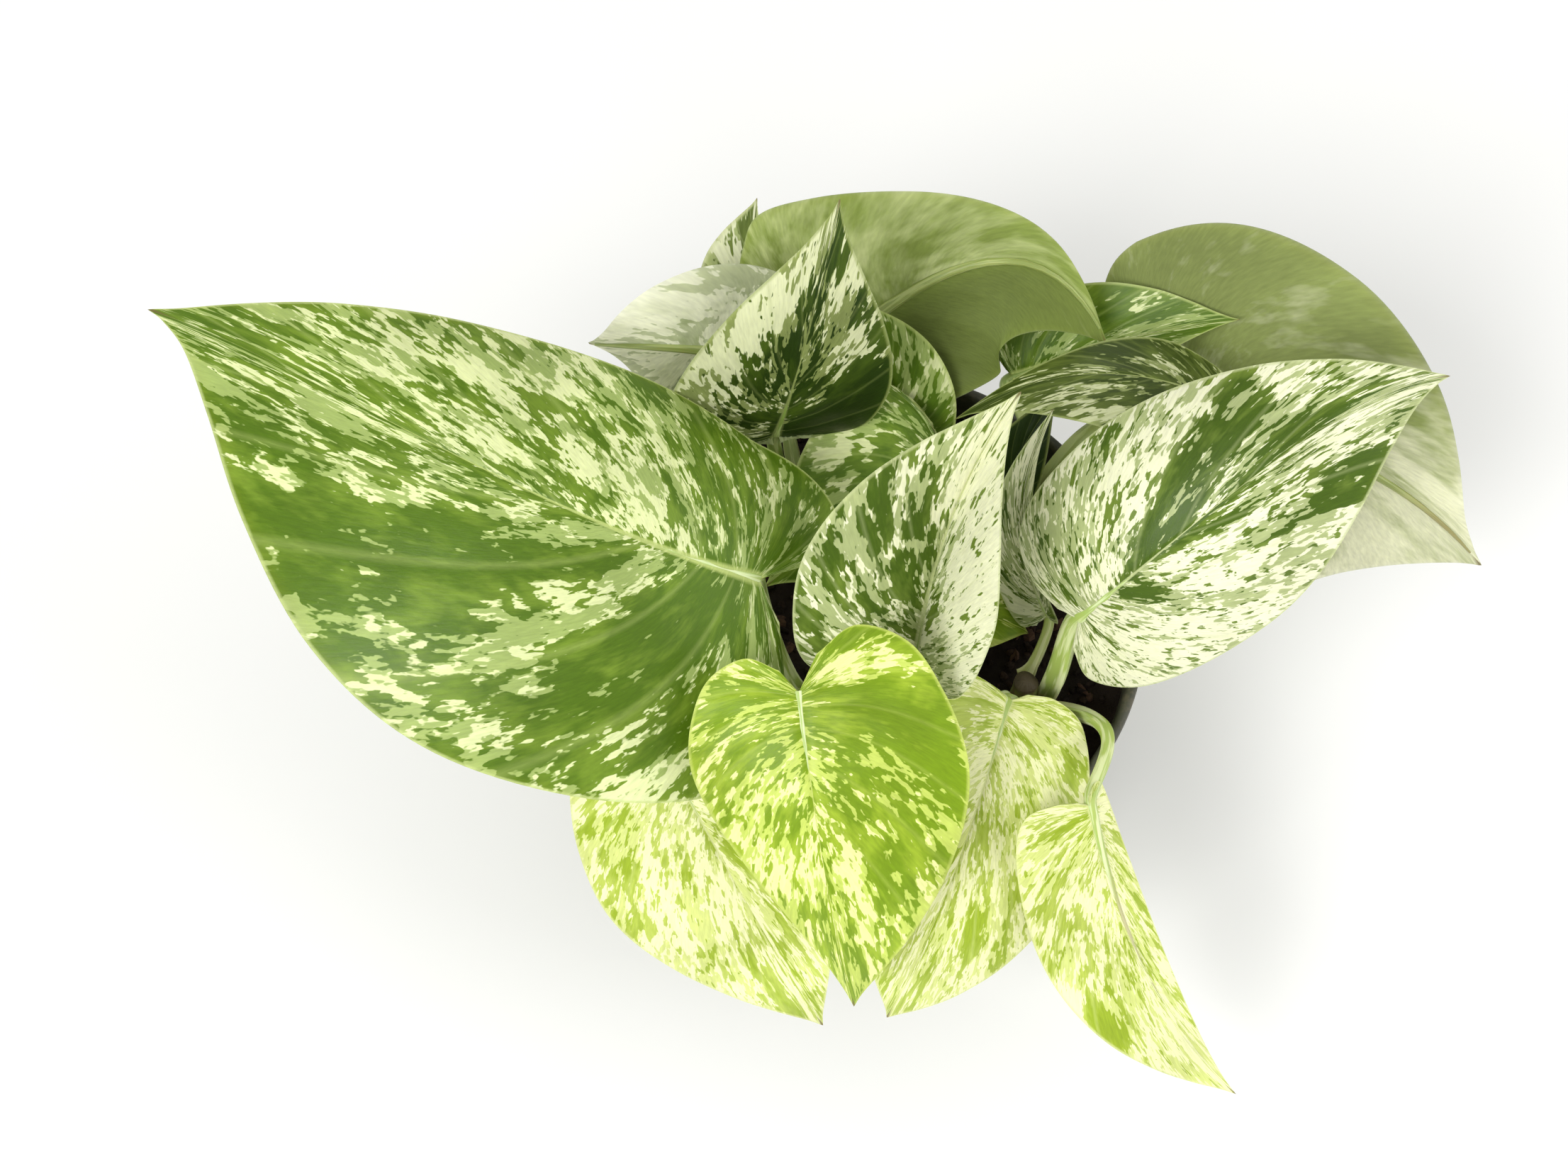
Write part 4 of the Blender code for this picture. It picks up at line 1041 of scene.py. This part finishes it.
cx, cy = away * np.cos(bearing), away * np.sin(bearing)
centre = np.stack([cx, cy, soil_height(cx, cy) + 0.25 * size], -1)
points = np.einsum("nij,nkj->nki", spin, bent * (flat * size[:, None])[:, None]) + centre[:, None]
faces = (lump_faces[None] + CORNERS * np.arange(CRUMBS)[:, None, None]).reshape(-1, 4)
tone = np.repeat(random.uniform(size=CRUMBS) + np.where(chip, 0.35, 0.0), CORNERS)
crumbs = surface(points, faces, green=tone)
print("crumbs:", CRUMBS, "of which bark chips:", int(chip.sum()))


# %% [markdown]
# ## Peat and bark
# Damp peat drinks light: it is very dark brown and quite matt. Bark is redder and a shade
# lighter. Each crumb's own tone makes neighbours differ.

# %% Soil material
def potting_mix(name):
    """Damp peat and bark: matt and dark brown in patches of 6 mm, with grit of 0.7 mm and
    finer."""
    made, tree, shader = start(name)
    tone = add(tree, "Attribute", {}, "Fac", attribute_name="green")
    object_place = add(tree, "TexCoord", {}, "Object")
    grit = add(tree, "TexNoise", {"Vector": object_place, "Scale": 1500.0, "Detail": 5.0,
                                  "Roughness": 0.65})
    patch = add(tree, "TexNoise", {"Vector": object_place, "Scale": 160.0, "Detail": 2.0})
    dark = add(tree, "Mix", {0: patch, 6: "#120D09", 7: "#2A1F17"}, **COLOURS)
    share = add(tree, "Math", {0: tone, 1: grit}, operation="MULTIPLY")
    share = add(tree, "MapRange", {0: share, 1: 0.2, 2: 0.8})
    colour = add(tree, "Mix", {0: share, 6: dark, 7: "#5B4231"}, **COLOURS)
    feed(shader, {
        "Base Color": colour, "Roughness": add(tree, "MapRange", {0: grit, 3: 0.75, 4: 1.0}),
        "Normal": add(tree, "Bump", {"Strength": 0.9, "Distance": 0.0004, "Height": grit}),
        "Specular IOR Level": 0.25})
    return made


soil = build("soil_peat_and_bark", joined([heap, crumbs]), [potting_mix("damp_peat_and_bark")])
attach(soil, "root")
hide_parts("soil")

# %% [markdown]
# ## The nursery pot
# The pot is thin injection-moulded polypropylene: a taper so that it leaves the mould, a thicker
# collar and a flat lip with small rounded corners, and drain holes through the floor. It is
# turned: a profile of radius and height goes once round. The corners of the profile are cut
# twice, each time at a quarter of both edges or nearer, which rounds them as a mould maker would.

# %% Turn the pot's profile
TURNS = 192
STEP = 3.0                    # mm between rings of points down the wall
FLOOR, POT_HEIGHT = 2.2, 80.0
profile = np.array((
    (0, FLOOR), (wall_radius(FLOOR) - 0.8, FLOOR), (wall_radius(FLOOR + 0.8), FLOOR + 0.8),
    (wall_radius(COLLAR_FOOT), COLLAR_FOOT), (LIP_INNER, POT_HEIGHT - 0.9),
    (LIP_INNER + 0.6, POT_HEIGHT), (LIP_OUTER - 0.5, POT_HEIGHT), (LIP_OUTER, POT_HEIGHT - 0.8),
    (LIP_OUTER - 0.5, COLLAR_FOOT + 0.3), (LIP_OUTER - COLLAR_STEP, COLLAR_FOOT - 0.6),
    (BASE_OUTER, 1.0), (BASE_OUTER - 0.8, 0), (0, 0)))


def with_cut_corners(points, reach):
    """Each inner corner becomes two points, at most reach from it along its two edges."""
    before, after = np.diff(points, axis=0)[:-1], np.diff(points, axis=0)[1:]
    cut = [np.minimum(0.25, reach / np.linalg.norm(edge, axis=1))[:, None] * edge
           for edge in (before, after)]
    inner = points[1:-1]
    pairs = np.stack([inner - cut[0], inner + cut[1]], axis=1).reshape(-1, 2)
    return np.concatenate([points[:1], pairs, points[-1:]])


for reach in (0.6, 0.2):
    profile = with_cut_corners(profile, reach)
steps = [np.linspace(a, b, max(2, int(np.linalg.norm(b - a) / STEP)))[:-1]
         for a, b in zip(profile, profile[1:])]
profile = np.concatenate([*steps, profile[-1:]])
rings = about_axis(profile[:, :1], full_turn(TURNS), profile[:, 1:])
turned = surface(rings, quads(closed(*rings.shape[:2])))
print("pot faces:", len(turned["faces"]))

# %% Moulded plastic
DUST_FROM, DUST_TO = 0.060, 0.079     # heights, m, between which soil dust grows more frequent


def moulded_plastic(name):
    """Injection-moulded polypropylene with recycled black: dark olive grey in blotches of 29 mm.
    A spark-eroded texture of 0.4 mm and upright draw marks 1.4 mm wide break the gloss, and soil
    dust lies near the lip in flecks of 4.5 mm."""
    made, tree, shader = start(name)
    object_place = add(tree, "TexCoord", {}, "Object")
    dust_noise = add(tree, "TexNoise", {"Vector": object_place, "Scale": 220.0, "Detail": 5.0,
                                        "Roughness": 0.7})
    blotch = add(tree, "TexNoise", {"Vector": object_place, "Scale": 35.0, "Detail": 2.0})
    body = add(tree, "Mix", {0: blotch, 6: "#3B3C2E", 7: "#4B4C3B"}, **COLOURS)
    height = add(tree, "SeparateXYZ", {0: object_place}, "Z")
    near_top = add(tree, "MapRange", {0: height, 1: DUST_FROM, 2: DUST_TO, 3: 0.60, 4: 0.50})
    dust = add(tree, "Math", {0: dust_noise, 1: near_top}, operation="SUBTRACT")
    dust = add(tree, "MapRange", {0: dust, 1: 0.0, 2: 0.12, 3: 0.0, 4: 0.45})
    colour = add(tree, "Mix", {0: dust, 6: body, 7: "#6E6450"}, **COLOURS)
    rough = add(tree, "MapRange", {0: dust_noise, 1: 0.3, 2: 0.7, 3: 0.42, 4: 0.66})
    erosion = add(tree, "TexNoise", {"Vector": object_place, "Scale": 2500.0, "Detail": 2.0})
    at = add(tree, "VectorMath", {0: object_place, 1: (700.0, 700.0, 12.0)}, operation="MULTIPLY")
    drawn = add(tree, "TexNoise", {"Vector": at, "Scale": 1.0, "Detail": 1.0})
    relief = add(tree, "Math", {0: erosion, 1: drawn}, operation="ADD")
    relief = add(tree, "Bump", {"Strength": 0.25, "Distance": 0.00015, "Height": relief})
    feed(shader, {"Base Color": colour, "Roughness": rough, "Normal": relief, "IOR": 1.49})
    return made


pot = build("pot_moulded", turned, [moulded_plastic("moulded_polypropylene")])

# %% [markdown]
# The drain holes are drilled with a Boolean, as a drill would make them: eight short rods, taken
# out of the floor. The step is applied at once and the rods removed, so that only the pot is left.

# %% Drill the drain holes
DRAIN_HOLES, DRAIN_RADIUS, DRAIN_CIRCLE = 8, 3.2, 25.0
rods = bmesh.new()
for i in range(DRAIN_HOLES):
    angle = 2 * math.pi * (i + 0.5) / DRAIN_HOLES
    rod = bmesh.ops.create_cone(rods, cap_ends=True, segments=40, depth=3 * FLOOR * MM,
                                radius1=DRAIN_RADIUS * MM, radius2=DRAIN_RADIUS * MM)
    bmesh.ops.translate(rods, verts=rod["verts"], vec=(
        DRAIN_CIRCLE * MM * math.cos(angle), DRAIN_CIRCLE * MM * math.sin(angle), FLOOR / 2 * MM))
drill_mesh = bpy.data.meshes.new("drain_drill")
rods.to_mesh(drill_mesh)
rods.free()
drill = placed("drain_drill", drill_mesh)
step = pot.modifiers.new("drain holes", 'BOOLEAN')
step.operation, step.solver, step.object = 'DIFFERENCE', 'EXACT', drill
drilled = bpy.data.meshes.new_from_object(pot.evaluated_get(bpy.context.evaluated_depsgraph_get()))
pot.modifiers.clear()
pot.data = drilled
bpy.data.objects.remove(drill, do_unlink=True)
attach(pot, "root")
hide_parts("pot")
print("pot faces after drilling:", len(pot.data.polygons))

# %% [markdown]
# ## Floor and light
# The photograph is lit softly from all round, with a little more from above the front left, and
# its ground is white. A pale floor under an even white sky gives that, and two large lamps give
# the leaves their form. A standard view keeps the greens as bright as the photograph has them.

# %% Floor, sky and lamps
FLOOR_REACH = 3.0             # m from the pot to the floor's edge
LIT_PLACE = (0, 0, 0.09)      # m, the middle of the plant, which the lamps face

floor_mesh = bpy.data.meshes.new("floor")
floor_mesh.from_pydata([(x * FLOOR_REACH, y * FLOOR_REACH, 0)
                        for x, y in ((-1, -1), (1, -1), (1, 1), (-1, 1))], [], [(0, 1, 2, 3)])
# Matt paper: a white ground that takes only the softest shadow.
paper, tree, shader = start("matt_white_paper")
feed(shader, {"Base Color": "#F7F7F4", "Roughness": 0.9})
floor_mesh.materials.append(paper)
floor = placed("floor", floor_mesh)

sky = bpy.data.worlds.new("soft_white")
sky.use_nodes = True
feed(sky.node_tree.nodes["Background"], {"Color": (1.0, 1.0, 1.0, 1.0), "Strength": 0.66})
bpy.context.scene.world = sky


def lamp(name, place, power, size):
    """A square lamp of some watts, with its place and size in metres, turned to the plant."""
    light = bpy.data.lights.new(name, 'AREA')
    light.energy, light.size = power, size
    back = unit(np.array(place, float) - np.array(LIT_PLACE))
    side = unit(np.cross([0, 0, 1.0], back))
    matrix = np.eye(4)
    matrix[:3] = np.stack([side, np.cross(back, side), back, place], axis=1)
    placed(name, light).matrix_world = Matrix(matrix.tolist())


lamp("key_front_left", (-0.55, -0.70, 1.0), 10.0, 0.5)
lamp("fill_right", (0.9, -0.2, 0.8), 4.5, 0.8)
bpy.context.scene.view_settings.view_transform = "Standard"
print("lamps:", [light.name for light in bpy.data.lights])
